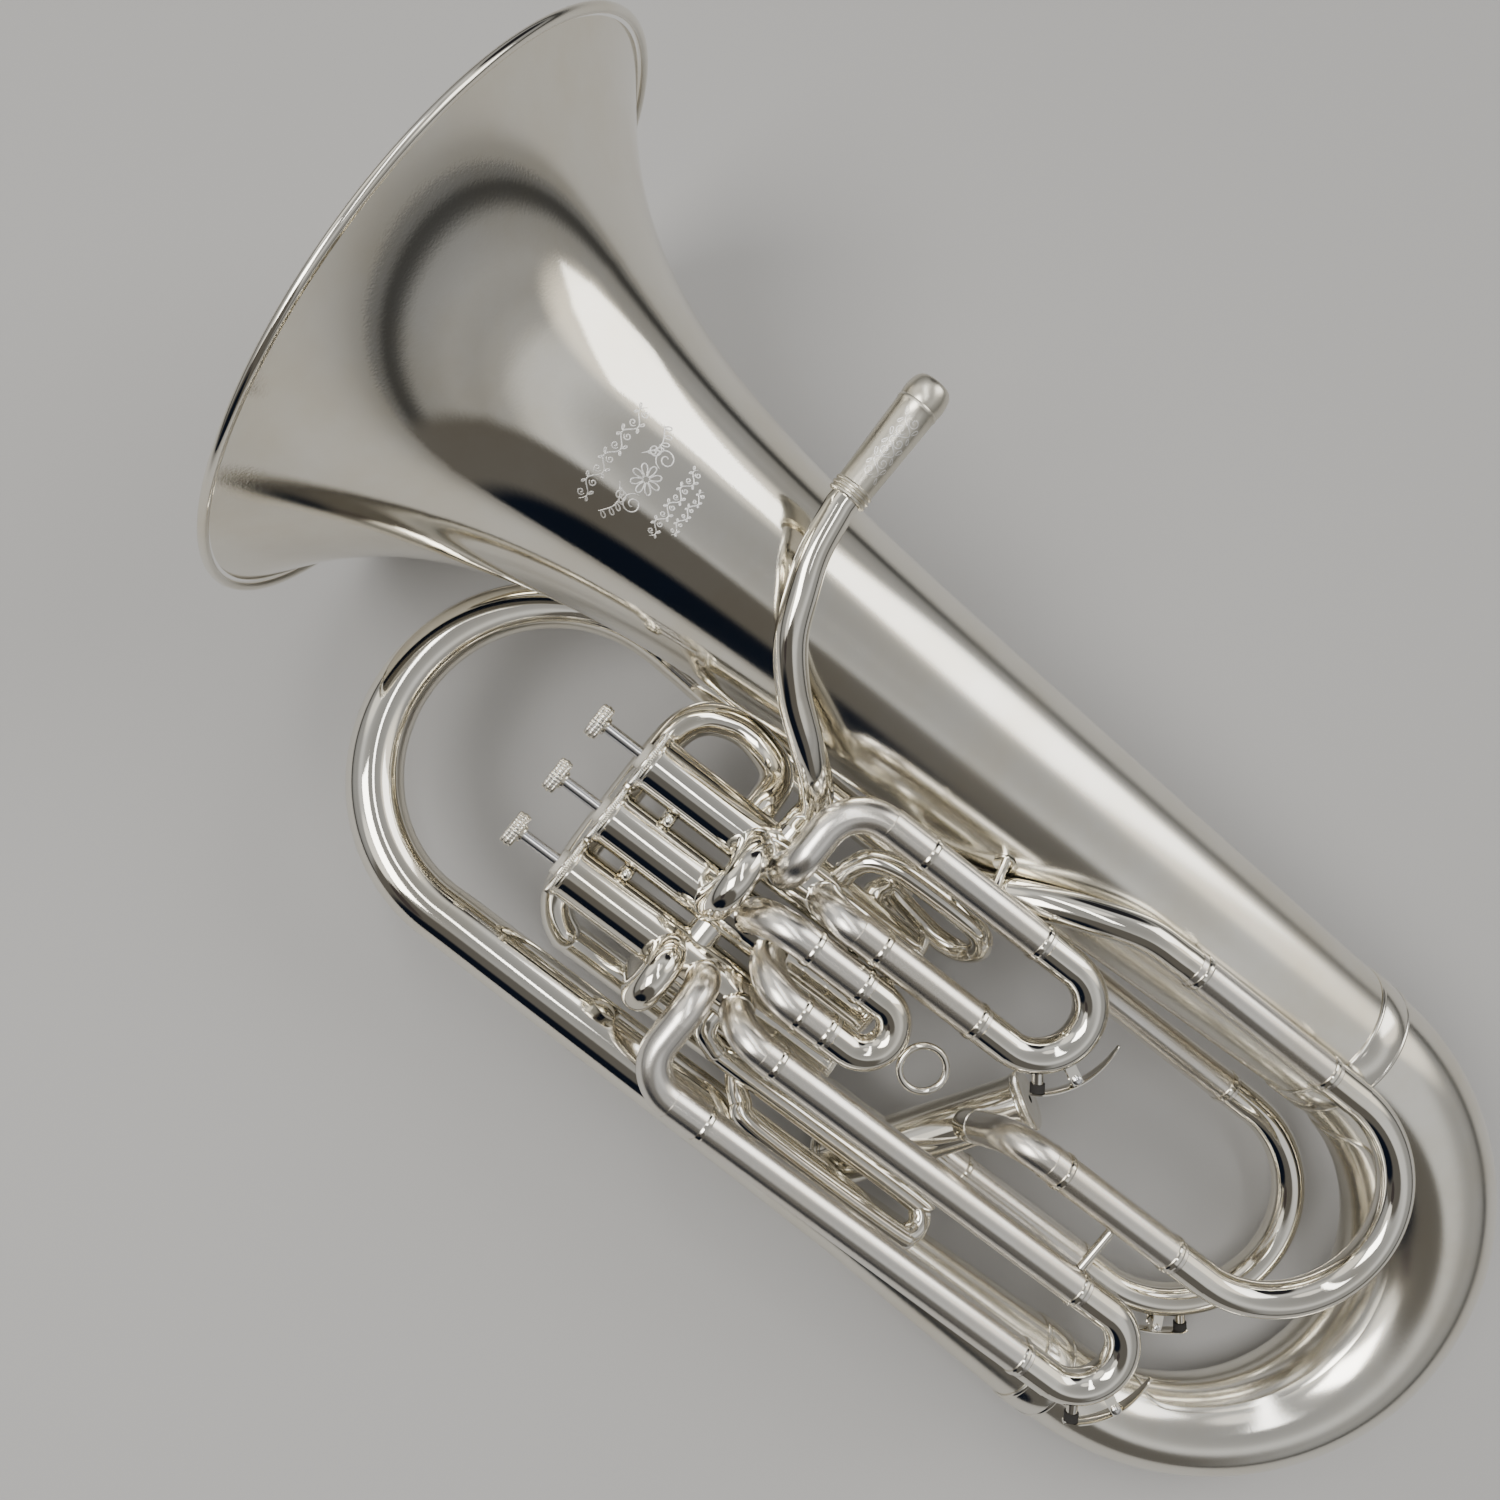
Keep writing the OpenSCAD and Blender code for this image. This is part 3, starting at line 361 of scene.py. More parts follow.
lip = BELL_R - BEAD
bead = [(lip + BEAD * math.cos(a), BEAD + BEAD * math.sin(a))
        for a in np.linspace(math.radians(75), math.radians(-245), 25)]
bead = [(r, h) for r, h in bead if not (r < stem_radius(max(h, 0.5)) - 0.7 and h > BEAD)]
lathe("bell_rim", bead, (0, 0, 0), (0, 0, 1), BRIGHT, replaced=["bell_rim_bead"], sides=256)

BAND_LEN = 17.5
band = [(0.03, 0), (0.55, 0), (0.9, 0.25), (1.15, 0.8), (1.2, 1.4), (0.95, 1.9), (1.0, 2.3), (1.25, 2.8),
        (1.3, 9), (1.25, 14.7), (1.0, 15.2), (0.95, 15.6), (1.2, 16.1), (1.15, 16.7), (0.9, 17.25),
        (0.55, BAND_LEN), (0.03, BAND_LEN)]
lathe("bell_ferrule", [(STEM_R + r, h) for r, h in band], (0, 0, BELL_LEN - JOINT + 0.5), (0, 0, 1), BOW,
      replaced=["bow_ferrules"], sides=192)
lathe("branch_ferrule", [(SMALL_R + r, h * 18.5 / BAND_LEN) for r, h in band],
      (BRANCH_X, 0, BRANCH_END - 9.5), (0, 0, 1), BOW, sides=160)


def bow_point(a):
    reach = BEND if a < 90 else BRANCH_BEND
    return np.array([-BEND + reach * math.cos(math.radians(a)), 0, BOW_Z + BEND * math.sin(math.radians(a))])


def bow_radius(a):
    return (STEM_R + SMALL_R) / 2 + (STEM_R - SMALL_R) / 2 * math.cos(math.radians(a))


arc = np.linspace(0, 180, 121)
bow_points = [(0, 0, BELL_LEN), (0, 0, BOW_Z - 3)] + [bow_point(a) for a in arc]
bow_points += [(BRANCH_X, 0, BOW_Z - 5), (BRANCH_X, 0, BRANCH_END)]
bow_radii = [STEM_R, STEM_R] + [bow_radius(a) for a in arc] + [SMALL_R, SMALL_R]
tube("bow", bow_points, bow_radii, WALL, (0, 1, 0), BOW, replaced=["bottom_bow"], sides=128)

# wear plate round the outside of the bow, with rounded ends and thinned edges
GUARD_FROM, GUARD_TO, GUARD_WRAP, GUARD_ROUND = 12, 162, math.radians(43), 9.0


def guard_half_width(a):
    """Share of the full wrap at angle a: a quarter ellipse over the last few degrees."""
    inset = min(a - GUARD_FROM, GUARD_TO - a)
    if inset >= GUARD_ROUND:
        return 1.0
    return max(math.sqrt(max(0.0, 1 - (1 - inset / GUARD_ROUND) ** 2)), 0.12)


guard_a = np.linspace(GUARD_FROM, GUARD_TO, 91)
guard_w = np.linspace(-1, 1, 25)
skins = []
for grow in (0.95, 0.08):
    for a in guard_a:
        ahead = bow_point(min(a + 0.5, 180)) - bow_point(a - 0.5)
        out = np.cross(ahead / np.linalg.norm(ahead), [0, 1, 0])
        for w in guard_w:
            turn = GUARD_WRAP * w * guard_half_width(a)
            thinned = 0.35 if abs(w) > 0.97 and grow > 0.5 else 0
            around = math.cos(turn) * out + math.sin(turn) * np.array([0, 1, 0])
            skins.append(bow_point(a) + (bow_radius(a) + grow - thinned) * around)
rows, cols = len(guard_a), len(guard_w)
under = rows * cols
faces = []
for i in range(rows - 1):
    for k in range(cols - 1):
        a = i * cols + k
        b = a + under
        faces += [(a, a + cols, a + cols + 1, a + 1), (b, b + 1, b + cols + 1, b + cols)]
    a, b = i * cols, i * cols + cols - 1
    faces += [(a, a + under, a + under + cols, a + cols), (b, b + cols, b + cols + under, b + under)]
for k in range(cols - 1):
    e = (rows - 1) * cols + k
    faces += [(k, k + 1, k + 1 + under, k + under), (e, e + under, e + under + 1, e + 1)]
finish_mesh("guard_plate", rest(skins), faces, BOW, "instrument", ["bow_guard"])

low = np.array([BRANCH_X, 0, BRANCH_END])
top = np.array([BRANCH_TOP_X, CROOK_Y[0], BRANCH_TOP])
knots = [top, top + [0, 0, 5], low + (top - low) * 0.33, low - [0, 0, JOINT + 5], low - [0, 0, JOINT], low]
knot_r = [BIG_CROOK_R, BIG_CROOK_R + 0.1, 17.4, SMALL_R - 0.1, SMALL_R, SMALL_R]
levels = np.concatenate([np.linspace(top[2], low[2] - JOINT, 60), [low[2]]])
knot_x, knot_y, knot_z = np.array(knots).T
branch = np.stack([np.interp(levels, knot_z, knot_x), np.interp(levels, knot_z, knot_y), levels], 1)
tube("branch", branch, np.interp(levels, knot_z, knot_r), WALL, (0, 1, 0), BRANCH,
     replaced=["outer_branch"], sides=96)

# top crook, then the main tube down to the main slide
crook = [(BRANCH_TOP_X, CROOK_Y[0], BRANCH_TOP)]
for a in np.linspace(0, math.pi, 97):
    crook.append((BRANCH_TOP_X + CROOK_BEND - CROOK_BEND * math.cos(a),
                  CROOK_Y[0] + (CROOK_Y[1] - CROOK_Y[0]) * (1 - math.cos(a)) / 2,
                  CROOK_Z - CROOK_BEND * math.sin(a)))
crook.append((CROOK_END_X, CROOK_Y[1], BRANCH_TOP))
tube("crook", crook, np.linspace(BIG_CROOK_R, CROOK_R, len(crook)), WALL, (0, 1, 0), BRIGHT,
     replaced=["top_crook"], sides=80)

way = [(CROOK_END_X, CROOK_Y[1], BRANCH_TOP + 4), (-58, -45, 220), (-61, -30, 270), (-60.5, -8, 316),
       (-56, 11, 342), (-47.5, 27.8, 359), (-38, 38.6, 374), (-27, 47, 396), (-18.5, 50.8, 420),
       (MAIN_X, MAIN_Y, MAIN_TOP - 4)]
WAY_STEPS = 20
path = spline(way, WAY_STEPS)
narrowing = [(4 * k / WAY_STEPS + 1) / 24 for k in range(len(path))]
radii = [max(TUBE_R, CROOK_R + (TUBE_R - CROOK_R) * share) for share in narrowing]
path = np.vstack([[(CROOK_END_X, CROOK_Y[1], BRANCH_TOP)], path, [(MAIN_X, MAIN_Y, MAIN_TOP)]])
tube("descending_tube", path, [CROOK_R] + radii + [TUBE_R], WALL, (1, 0, 0), BRIGHT, replaced=["main_tube"])

# leadpipe, from the receiver to the first valve
port = (VALVE_X[0] + STUB_END, VALVE_Y, 272)
way = [RECEIVER - [4, 0, 0], (20, 69.5, 196.5), (3, 68.5, 203), (-15, 65, 212), (-31, 59, 227),
       (-45, 52, 246), (-57, 40, 262), (-67, 27, 270.5), (port[0] + 3, port[1], port[2])]
path = np.vstack([[RECEIVER], spline(way, 24), [port]])
tube("mouth_pipe", path, np.linspace(LEAD_R, 8.3, len(path)), WALL, (0, 1, 0), BRIGHT, replaced=["leadpipe"])

# return tube, from the first casing over the tops of the casings and down to the fourth
low4 = v4_at(RETURN_X)
turn = math.radians(-33)
port = np.array([VALVE_X[0] + STUB_END * math.cos(turn), VALVE_Y + STUB_END * math.sin(turn), 254])
out = np.array([math.cos(turn), math.sin(turn), 0])
way = [port + 3 * out, (-72, -1.5, 254), (-65.5, -8, 249), (-62, -14, 238), (-61.5, -16.5, 225),
       (-67, -17, 211), (-78, -16.5, 203), (-95, -16, 201), (-130, -17.5, 201), (-163, -20.5, 202),
       (-184, -22, 206), (RETURN_X + 2, -22.5, 219), (RETURN_X, low4[1], 240), (RETURN_X, low4[1], 375),
       (RETURN_X, low4[1], low4[2] - 24)]
path = np.vstack([[port], spline(way, 14), [(RETURN_X, low4[1], low4[2] - 20)]])
tube("return_tube", path, np.full(len(path), TUBE_R), WALL, (0, 0.6, 0.8), BRIGHT,
     replaced=["fourth_return_tube"])


# ---- compensating loops ----
def port_at(i, angle, z, gap):
    """Point gap outside the end of a port stub of casing i, at an angle round the casing."""
    a = math.radians(angle)
    return (VALVE_X[i] + (STUB_END + gap) * math.cos(a), VALVE_Y + (STUB_END + gap) * math.sin(a), z)


loops = [
    [port_at(0, 15, 302, 2), (-71, 27, 306), (-66, 29.5, 316), (-64.5, 30, 330), (-64.5, 29, 358),
     (-67, 24, 371), (-73.5, 16, 377), (-80, 7, 373), (-82, 2, 363), (-80.5, 0, 349), (-78.5, 0.5, 336),
     (-77, 3, 327), port_at(0, -35, 322, 2)],
    [port_at(1, -90, 262, 2), (VALVE_X[1], -8.5, 264.5), (VALVE_X[1], -13.5, 272), (VALVE_X[1], -14, 280),
     (VALVE_X[1], -13.5, 288), (VALVE_X[1], -8.5, 295.5), port_at(1, -90, 298, 2)],
    [port_at(2, 180, 296, 2), (-184.5, 16.5, 299.5), (-189, 13, 309), (-190, 12, 322), (-190, 13, 430),
     (-192.5, 14.5, 438.5), (-198, 17, 441.5), (-203.5, 19.5, 438.5), (-206, 21, 430), (-206, 20, 348),
     (-201.5, 15, 334), (-193, 6, 325), port_at(2, 222, 320, 8), port_at(2, 222, 320, 2)]]
loop_ends = [(port_at(0, 15, 302, 0), port_at(0, -35, 322, 0)),
             (port_at(1, -90, 262, 0), port_at(1, -90, 298, 0)),
             (port_at(2, 180, 296, 0), port_at(2, 222, 320, 0))]
for i, (way, ends) in enumerate(zip(loops, loop_ends)):
    path = np.vstack([[ends[0]], spline(way, 12), [ends[1]]])
    tube("loop_%d" % (i + 1), path, np.full(len(path), LOOP_R), 0.6, (0, 0.6, 0.8), BRIGHT,
         replaced=["compensating_loops"] if i == 0 else (), sides=40)


# ---- valve caps with a fine knurl, and finger buttons ----
def valve_frame(i):
    """Top of casing i and the direction down its axis."""
    if i < 3:
        return np.array([VALVE_X[i], VALVE_Y, VALVE_TOP]), np.array([0.0, 0.0, 1.0])
    return V4_BOTTOM + V4_DIR * CASING_4_LEN, -V4_DIR


def knurl(depth, teeth, low, high, outside=14.5):
    """Fine teeth on the part of a profile beyond a radius and between two heights."""
    def radius_at(r, h, turn):
        if r < outside or not low <= h <= high:
            return np.full(len(turn), r)
        return r - depth * np.abs(np.sin(teeth * turn / 2)) ** 0.7
    return radius_at


CAP_TOP = 2.25
CAP = [(9, 0), (9.4, 0.12), (9.8, 0), (13.2, 0), (13.9, 0.15), (14.35, 0.55), (14.4, 0.9), (14.9, 1.05),
       (15, 1.2), (15, 2.9), (14.9, 3.1), (14.35, 3.25), (14.3, 3.9), (14.6, 4.1), (14.75, 4.5),
       (14.6, 4.95), (14.3, 5.15), (14.3, 6), (13.78, 6), (13.78, CAP_TOP)]
BUTTON = [(0.01, -0.6), (2.2, -0.65), (2.5, -0.4), (2.9, -0.4), (3.2, -0.8), (4.8, -0.8), (5.2, -0.4),
          (5.7, -0.35), (6.2, -1.0), (7.0, -1.1), (7.7, -0.8), (8.2, -0.1), (8.25, 0.5), (8.0, 0.9),
          (8.15, 1.3), (8.6, 2.0), (8.6, 2.9), (8.15, 3.6), (8.0, 3.9), (8.2, 4.3), (8.1, 4.8), (7.4, 5.3),
          (6.2, 5.5), (5.0, 5.6), (4.5, 6.0), (4.4, 6.6), (4.1, 6.9), (3.1, 6.9), (3.05, 2.5), (0.01, 2.5)]


def cap(name, base, axis, hole, replaced=()):
    lathe(name, [(hole, 0)] + CAP + [(hole, CAP_TOP)], base, axis, BRIGHT, replaced=replaced, sides=480,
          radius_at=knurl(0.42, 80, 1.0, 3.15))


def beaded(r, h, turn):
    """A beaded rim and a small petalled flower on the face of a button."""
    if r > 7.0:
        return r + 0.22 * np.cos(30 * turn)
    if 3.1 < r < 4.9 and h < 0:
        return r + 0.35 * np.cos(8 * turn)
    return np.full(len(turn), r)


for i in range(4):
    base, down = valve_frame(i)
    length = CASING_LEN if i < 3 else CASING_4_LEN - 2
    tops, bottoms = (["valve_top_caps"], ["valve_bottom_caps"]) if i == 0 else ((), ())
    cap("top_cap_%d" % (i + 1), base - CAP_TOP * down, down, 3.05, tops)
    cap("bottom_cap_%d" % (i + 1), base + (length + CAP_TOP) * down, -down, 2.0, bottoms)
    rise = BUTTON_RISE if i < 3 else BUTTON_4_RISE
    lathe("button_%d" % (i + 1), BUTTON, base - rise * down, down, BRIGHT, "valve_%d" % (i + 1),
          ["finger_button_%d" % (i + 1)], sides=240, radius_at=beaded)


# ---- coil springs under the pistons ----
COIL_R, WIRE_R, COILS, COIL_STEPS = 8.5, 0.7, 6, 24


def valve_spring(i, start, room):
    """Spring of valve i in the room below its piston, which ends at start from the top of the casing."""
    top, down = valve_frame(i)
    side = np.cross(down, [0.0, 1.0, 0.0])
    side /= np.linalg.norm(side)
    turn = np.linspace(0, 2 * COILS * np.pi, COIL_STEPS * COILS + 1)
    along = np.linspace(0.8, room - 0.8, len(turn))
    coil = np.cos(turn)[:, None] * side + np.sin(turn)[:, None] * np.cross(down, side)
    points = top + (start + along)[:, None] * down + COIL_R * coil
    spring = tube("spring_%d" % (i + 1), points, np.full(len(turn), WIRE_R), 0.65, down, STEEL,
                  replaced=["valve_spring_%d" % (i + 1)], sides=12)
    seat = rest([top + (start + room) * down])[0]
    tuple(TURN @ Vector(down))
    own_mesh(spring)


for i in range(3):
    valve_spring(i, 114.0, 40.0)
valve_spring(3, 66.0, 47.0)

# ---- mouthpiece receiver: ringed collar, slightly swelling barrel and rounded mouth ----
BARREL = [(8.35, 7.0), (8.55, 16), (8.9, 28), (9.15, 38), (9.25, 44.6)]
COLLAR = [(6.45, -0.5), (8.2, -0.5), (8.75, 0.1), (8.75, 0.9), (8.15, 1.4), (8.2, 1.8), (8.95, 2.3),
          (8.95, 3.1), (8.25, 3.6), (8.3, 4.0), (8.9, 4.5), (8.9, 5.2), (8.3, 5.8)]
MOUTH = [(9.5, 45.0), (9.6, 45.7), (9.5, 46.4), (9.25, 46.8), (9.4, 47.4), (9.65, 49.0), (9.6, 51.5),
         (9.25, 53.8), (8.6, 55.8), (7.8, 57.1), (7.0, 57.8), (6.5, 58.0), (6.3, 57.7), (6.3, 33), (5.6, 33),
         (5.6, 2), (6.45, 2)]
lathe("receiver", COLLAR + BARREL + MOUTH, RECEIVER, (1, 0, 0), RECEIVER_SILVER,
      replaced=["mouthpiece_receiver"], sides=144)


# ---- engraved ornament: flat strokes that follow the metal ----
def spiral(cx, cy, r, start, turns, hand):
    """Curl that winds inwards from radius r; hand is 1 or -1."""
    n = int(26 * abs(turns)) + 8
    out = []
    for k in range(n + 1):
        t = k / n
        a = start + hand * 2 * math.pi * turns * t
        out.append((cx + r * (1 - 0.82 * t) * math.cos(a), cy + r * (1 - 0.82 * t) * math.sin(a)))
    return out


def leaf(cx, cy, angle, length, width):
    """Outline of a leaf that grows from (cx, cy) at an angle."""
    c, s = math.cos(angle), math.sin(angle)
    out = []
    for t in np.linspace(0, 2 * math.pi, 25):
        x, y = length / 2 * (1 - math.cos(t)), width * math.sin(t) * (1 - 0.35 * math.cos(t)) / 2
        out.append((cx + x * c - y * s, cy + x * s + y * c))
    return out


def vine(length, height, waves):
    """A running scroll of the given length centred on the origin."""
    strokes = [[(length * (t - 0.5), height * 0.32 * math.sin(2 * math.pi * waves * t))
                for t in np.linspace(0, 1, 30 * waves)]]
    for k in range(2 * waves):
        t = (k + 0.5) / (2 * waves)
        side = 1 if k % 2 == 0 else -1
        x = length * (t - 0.5)
        strokes.append(spiral(x, -side * height * 0.16, height * 0.26, side * math.pi / 2, 1.3, side))
        y = side * height * 0.36
        strokes.append(leaf(x + 0.1 * height, y, side * 0.5, height * 0.34, height * 0.13))
        strokes.append(leaf(x - 0.1 * height, y, math.pi - side * 0.5, height * 0.28, height * 0.11))
    return strokes


def engrave(name, strokes, place, width, lift, body="instrument"):
    """place(u, v, lift) gives the point over the metal at ornament coordinates u, v in mm."""
    points, faces = [], []
    for line in strokes:
        line = np.array(line)
        ahead = np.gradient(line, axis=0)
        ahead /= np.maximum(np.linalg.norm(ahead, axis=1), 1e-9)[:, None]
        across = np.stack([-ahead[:, 1], ahead[:, 0]], 1)
        taper = np.minimum(1.0, 0.35 + 1.6 * np.sin(np.linspace(0, math.pi, len(line))))
        start = len(points)
        for p, q, w in zip(line, across, taper):
            for side in (-0.5, 0.0, 0.5):
                u, v = p + q * side * width * w
                points.append(place(u, v, lift * (0.4 if side else 1.0)))
        for k in range(len(line) - 1):
            a = start + 3 * k
            faces += [(a, a + 3, a + 4, a + 1), (a + 1, a + 4, a + 5, a + 2)]
    return finish_mesh(name, rest(points), faces, ETCH, body, angle=60)


def on_bell(centre_z, angle):
    def place(u, v, lift):
        z = centre_z + v
        r = stem_radius(z) + lift
        a = math.radians(angle) - u / stem_radius(centre_z)
        return (r * math.cos(a), r * math.sin(a), z)
    return place


def on_receiver(u, v, lift):
    h = 26 + u
    a = v / 8.9 + 0.15
    r = np.interp(h, [7, 16, 28, 38, 45], [8.35, 8.55, 8.9, 9.15, 9.25]) + lift
    return (RECEIVER[0] + h, RECEIVER[1] + r * math.cos(a), RECEIVER[2] + r * math.sin(a))


crest = []
for k in range(8):
    a = k * math.pi / 4
    crest.append(leaf(1.2 * math.cos(a), 1.2 * math.sin(a), a, 5.2, 2.2))
for side in (-1, 1):
    crest.append(spiral(side * 11.5, 1.5, 4.6, 0 if side < 0 else math.pi, 1.6, side))
    crest.append(spiral(side * 11.5, -4.5, 3.0, math.pi if side < 0 else 0, 1.4, side))
    crest.append([(side * (7 + 15 * t), 8.5 * math.sin(math.pi * t) * 0.5 - 8)
                  for t in np.linspace(0, 1, 24)])
    for k in range(5):
        y = -8 + 4 * math.sin(math.pi * (2 + 3 * k) / 15)
        crest.append(leaf(side * (9 + 3 * k), y, math.pi / 2 - side * 0.6, 3.4, 1.4))
for v, length, height, waves in ((-17, 44, 6, 4), (14.5, 36, 5, 4), (21.5, 24, 3.6, 3)):
    crest += [[(x, y + v) for x, y in line] for line in vine(length, height, waves)]
engrave("bell_ornament", crest, on_bell(124, 90), 0.55, 0.12)
engrave("receiver_ornament", vine(30, 9.5, 3), on_receiver, 0.4, 0.1)

# ---- water keys: tapered blades on a barrel with domed screw heads ----
# x of both legs, z and y of the bow, then the angles of cork, pivot and tip round the bow in degrees
KEYS = {"first": ((-50.5, -96.5), 404, 50, 142, 115, 79),
        "third": ((-166.5, -209), 523, 50, 145, 112, 79),
        "fourth": ((-53.5, -172), 556, -19, 138, 149, 162)}
BLADE_HALF, BLADE_STEPS = 3.2, 40
BLADE_SECTION = ((-1, 0.25), (-0.8, 0.0), (0.8, 0.0), (1, 0.25), (1, 0.75), (0.8, 1.0), (0, 1.22),
                 (-0.8, 1.0), (-1, 0.75))
KEY_BARREL = [(1.05, -3), (1.9, -3), (2.2, -2.7), (2.0, -2.2), (2.0, 2.2), (2.2, 2.7), (1.9, 3), (1.05, 3)]
SCREW_HEAD = [(0.01, 0), (2.1, 0), (2.2, 0.3), (2.1, 0.9), (1.5, 1.35), (0.6, 1.5), (0.01, 1.5)]
WEB_FACES = [(0, 1, 2, 3), (8, 11, 10, 9)]
for k in (0, 4):
    WEB_FACES += [(k + i, k + 4 + i, k + 4 + (i + 1) % 4, k + (i + 1) % 4) for i in range(4)]

for key, (legs, bow_z, y, cork_a, pivot_a, tip_a) in KEYS.items():
    cx, radius = (legs[0] + legs[1]) / 2, (legs[0] - legs[1]) / 2

    def on_key(a, lift):
        r = radius + TUBE_R + lift
        return np.array([cx + r * math.cos(a), y, bow_z + r * math.sin(a)])

    sign = 1 if tip_a > cork_a else -1
    extra = math.degrees(3.6 / (radius + 17))
    first_a, last_a = cork_a - sign * extra, tip_a
    rings = []
    for k in range(BLADE_STEPS + 1):
        t = k / BLADE_STEPS
        a = math.radians(first_a + (last_a - first_a) * t)
        narrowed = 1.0 if t < 0.55 else 1.0 - 0.62 * ((t - 0.55) / 0.45) ** 1.4
        width = BLADE_HALF * min(1.0, 0.55 + 4 * t) * narrowed
        lift = 8.75 + 0.9 * max(0.0, (t - 0.6) / 0.4) ** 2
        thick = 1.35 - 0.45 * t
        for w, h in BLADE_SECTION:
            rings.append(on_key(a, lift + thick * h) + np.array([0, w * width, 0]))
    corners = len(BLADE_SECTION)
    first_end = range(corners) if sign < 0 else range(corners - 1, -1, -1)
    faces = [f if sign > 0 else f[::-1] for f in grid_faces(BLADE_STEPS + 1, corners)]
    faces.append(tuple(first_end))
    faces.append(tuple(BLADE_STEPS * corners + k for k in reversed(first_end)))
    finish_mesh(key + "_key_blade", rest(rings), faces, BRIGHT, key + "_key", [key + "_key_lever"])
    pivot = math.radians(pivot_a)
    hub = on_key(pivot, 5.6)
    lathe(key + "_key_barrel", KEY_BARREL, hub, (0, 1, 0), BRIGHT, key + "_key", sides=48)
    web = []
    for lift, half in ((5.8, 1.2), (7.6, 1.5), (9.0, 2.4)):
        for dx, dy in ((-half, -2.6), (half, -2.6), (half, 2.6), (-half, 2.6)):
            web.append(on_key(pivot + dx / (radius + 15), lift) + np.array([0, dy, 0]))
    finish_mesh(key + "_key_web", rest(web), WEB_FACES, BRIGHT, key + "_key")
    for side, letter in ((-1, "a"), (1, "b")):
        lathe("%s_key_screw_%s" % (key, letter), SCREW_HEAD, hub + np.array([0, side * 4.75, 0]),
              (0, side, 0), STEEL, key + "_slide", sides=40, closed=False)

# ---- the CAD's own exact parts keep their shape and take a finish ----
for name, o in frame["nodes"].items():
    if name.endswith("_cork"):
        finish = CORK
    elif "felt" in name:
        finish = FELT
    elif name.startswith(("valve_stem", "valve_spring", "piston")):
        finish = STEEL
    elif name.endswith("_legs") or name == "bow_guard":
        finish = SATIN
    else:
        finish = BRIGHT
    if len(o.data.materials) == 0:
        o.data.materials.append(finish)
    for k in range(len(o.data.materials)):
        o.data.materials[k] = finish


# ---- floor, light and camera ----
def stage_plane(name, size, z, material):
    mesh = bpy.data.meshes.new(name)
    s = size / 2
    mesh.from_pydata([(-s, -s, z), (s, -s, z), (s, s, z), (-s, s, z)], [], [(0, 1, 2, 3)])
    o = bpy.data.objects.new(name, mesh)
    bpy.context.scene.collection.objects.link(o)
    mesh.materials.append(material)
    return o


floor, tree, bsdf = new_material("floor")
bsdf.inputs["Base Color"].default_value = (0.45, 0.445, 0.437, 1)
bsdf.inputs["Roughness"].default_value = 0.9
stage_plane("floor", 12.0, -0.0005, floor)


def area_light(name, at, toward, size, size_y, power, colour=(1, 1, 1)):
    data = bpy.data.lights.new(name, "AREA")
    data.shape = "RECTANGLE"
    data.size = size
    data.size_y = size_y
    data.energy = power
    data.color = colour
    o = bpy.data.objects.new(name, data)
    o.location = at
    o.rotation_euler = (Vector(toward) - Vector(at)).to_track_quat("-Z", "Y").to_euler()
    bpy.context.scene.collection.objects.link(o)
    return o


area_light("key", (-0.9, 0.7, 1.9), (0, -0.1, 0.1), 1.1, 0.8, 25, (1.0, 0.98, 0.95))
area_light("fill", (1.6, -0.9, 1.5), (0, -0.1, 0.1), 1.0, 1.4, 11, (0.97, 0.98, 1.0))
area_light("strip", (0.3, 0.4, 2.4), (0, 0, 0), 0.25, 2.4, 12)

# a dim room: soft bright ceiling, grey walls, one dark side and one warm side
world = bpy.data.worlds.new("room")
bpy.context.scene.world = world
world.use_nodes = True
wt = world.node_tree
direction = wt.nodes.new("ShaderNodeTexCoord").outputs["Generated"]
split = wt.nodes.new("ShaderNodeSeparateXYZ")
link(wt, direction, split.inputs["Vector"])
LEVELS = [(0.0, 0.16), (0.02, 0.05), (0.07, 0.07), (0.13, 0.27), (0.30, 0.37), (0.42, 0.35), (0.52, 0.42),
          (0.62, 0.74), (0.72, 0.78), (0.84, 0.46), (0.94, 0.38), (1.0, 0.34)]
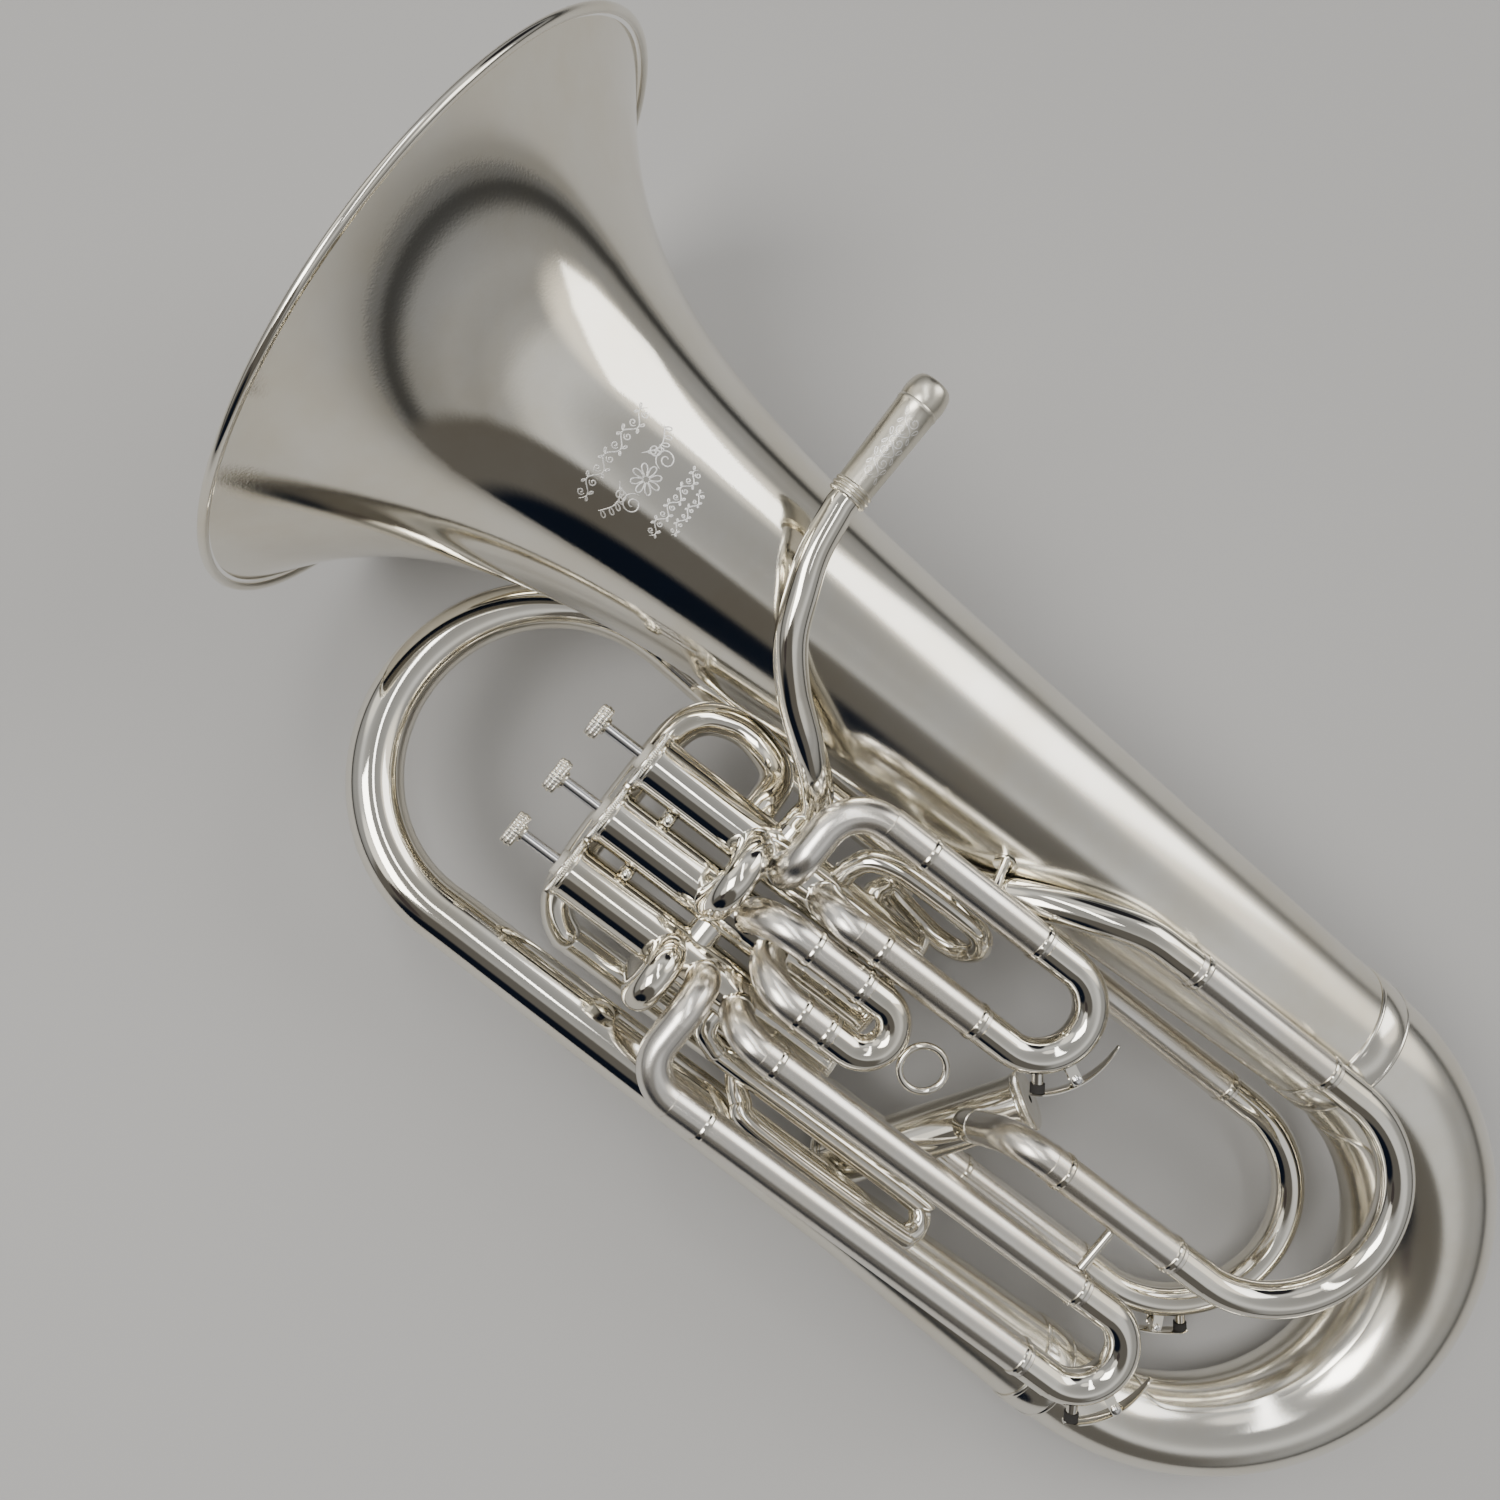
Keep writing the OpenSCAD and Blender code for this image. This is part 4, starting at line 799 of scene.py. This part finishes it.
# towards, full inside and gone outside these degrees, colour
PATCHES = [((-1.0, 0.60, 0.22), 37, 44, (0.125, 0.118, 0.108)),
           ((-1.0, 0.34, 0.12), 19, 27, (0.006, 0.009, 0.018)),
           ((-0.55, 0.8, -0.5), 9, 14, (1.25, 1.22, 1.15)),
           ((-0.62, 0.62, -0.2), 6, 9, (0.06, 0.05, 0.05)),
           ((0.9, 0.55, 0.5), 14, 24, (1.5, 1.42, 1.28)),
           ((0.55, 0.75, -0.3), 7, 12, (1.3, 1.26, 1.2)),
           ((0.2, 0.5, -1.0), 12, 20, (1.2, 1.17, 1.1)),
           ((1.0, 0.18, -0.2), 12, 20, (0.02, 0.02, 0.025))]
BACKDROP = (0.36, 0.356, 0.348)


def patch(toward, near, far):
    """1 inside a soft patch of sky around a direction of the horn's frame, 0 outside."""
    d = (TURN @ Vector(toward)).normalized()
    dot = node(wt, "ShaderNodeVectorMath", operation="DOT_PRODUCT")
    dot.inputs[1].default_value = d
    link(wt, direction, dot.inputs[0])
    limits = math.cos(math.radians(far)), math.cos(math.radians(near))
    return map_range(wt, dot.outputs["Value"], *limits, 0.0, 1.0, smooth=True)


sky = ramp(wt, split.outputs["Z"], LEVELS)
for toward, near, far, colour in PATCHES:
    sky = mixed(wt, patch(toward, near, far), sky, colour)
# the camera itself sees a plain pale backdrop
sky = mixed(wt, wt.nodes.new("ShaderNodeLightPath").outputs["Is Camera Ray"], sky, BACKDROP)
link(wt, sky, wt.nodes["Background"].inputs["Color"])

SENSOR, LENS = 36, 29.3376
camera = bpy.data.cameras.new("camera")
camera.sensor_width = SENSOR
camera.lens = LENS
camera.clip_start = 0.02
cam = bpy.data.objects.new("camera", camera)
bpy.context.scene.collection.objects.link(cam)
eye = Vector((-25.874, 578.101, 172.201))
right = Vector((0.619122, 0.040538, 0.784248))
up = Vector((0.782267, -0.119445, -0.611385))
back = right.cross(up)
pose = Matrix((TURN @ right, TURN @ up, TURN @ back)).transposed().to_4x4()
pose.translation = HORN @ eye
cam.matrix_world = pose
bpy.context.scene.camera = cam
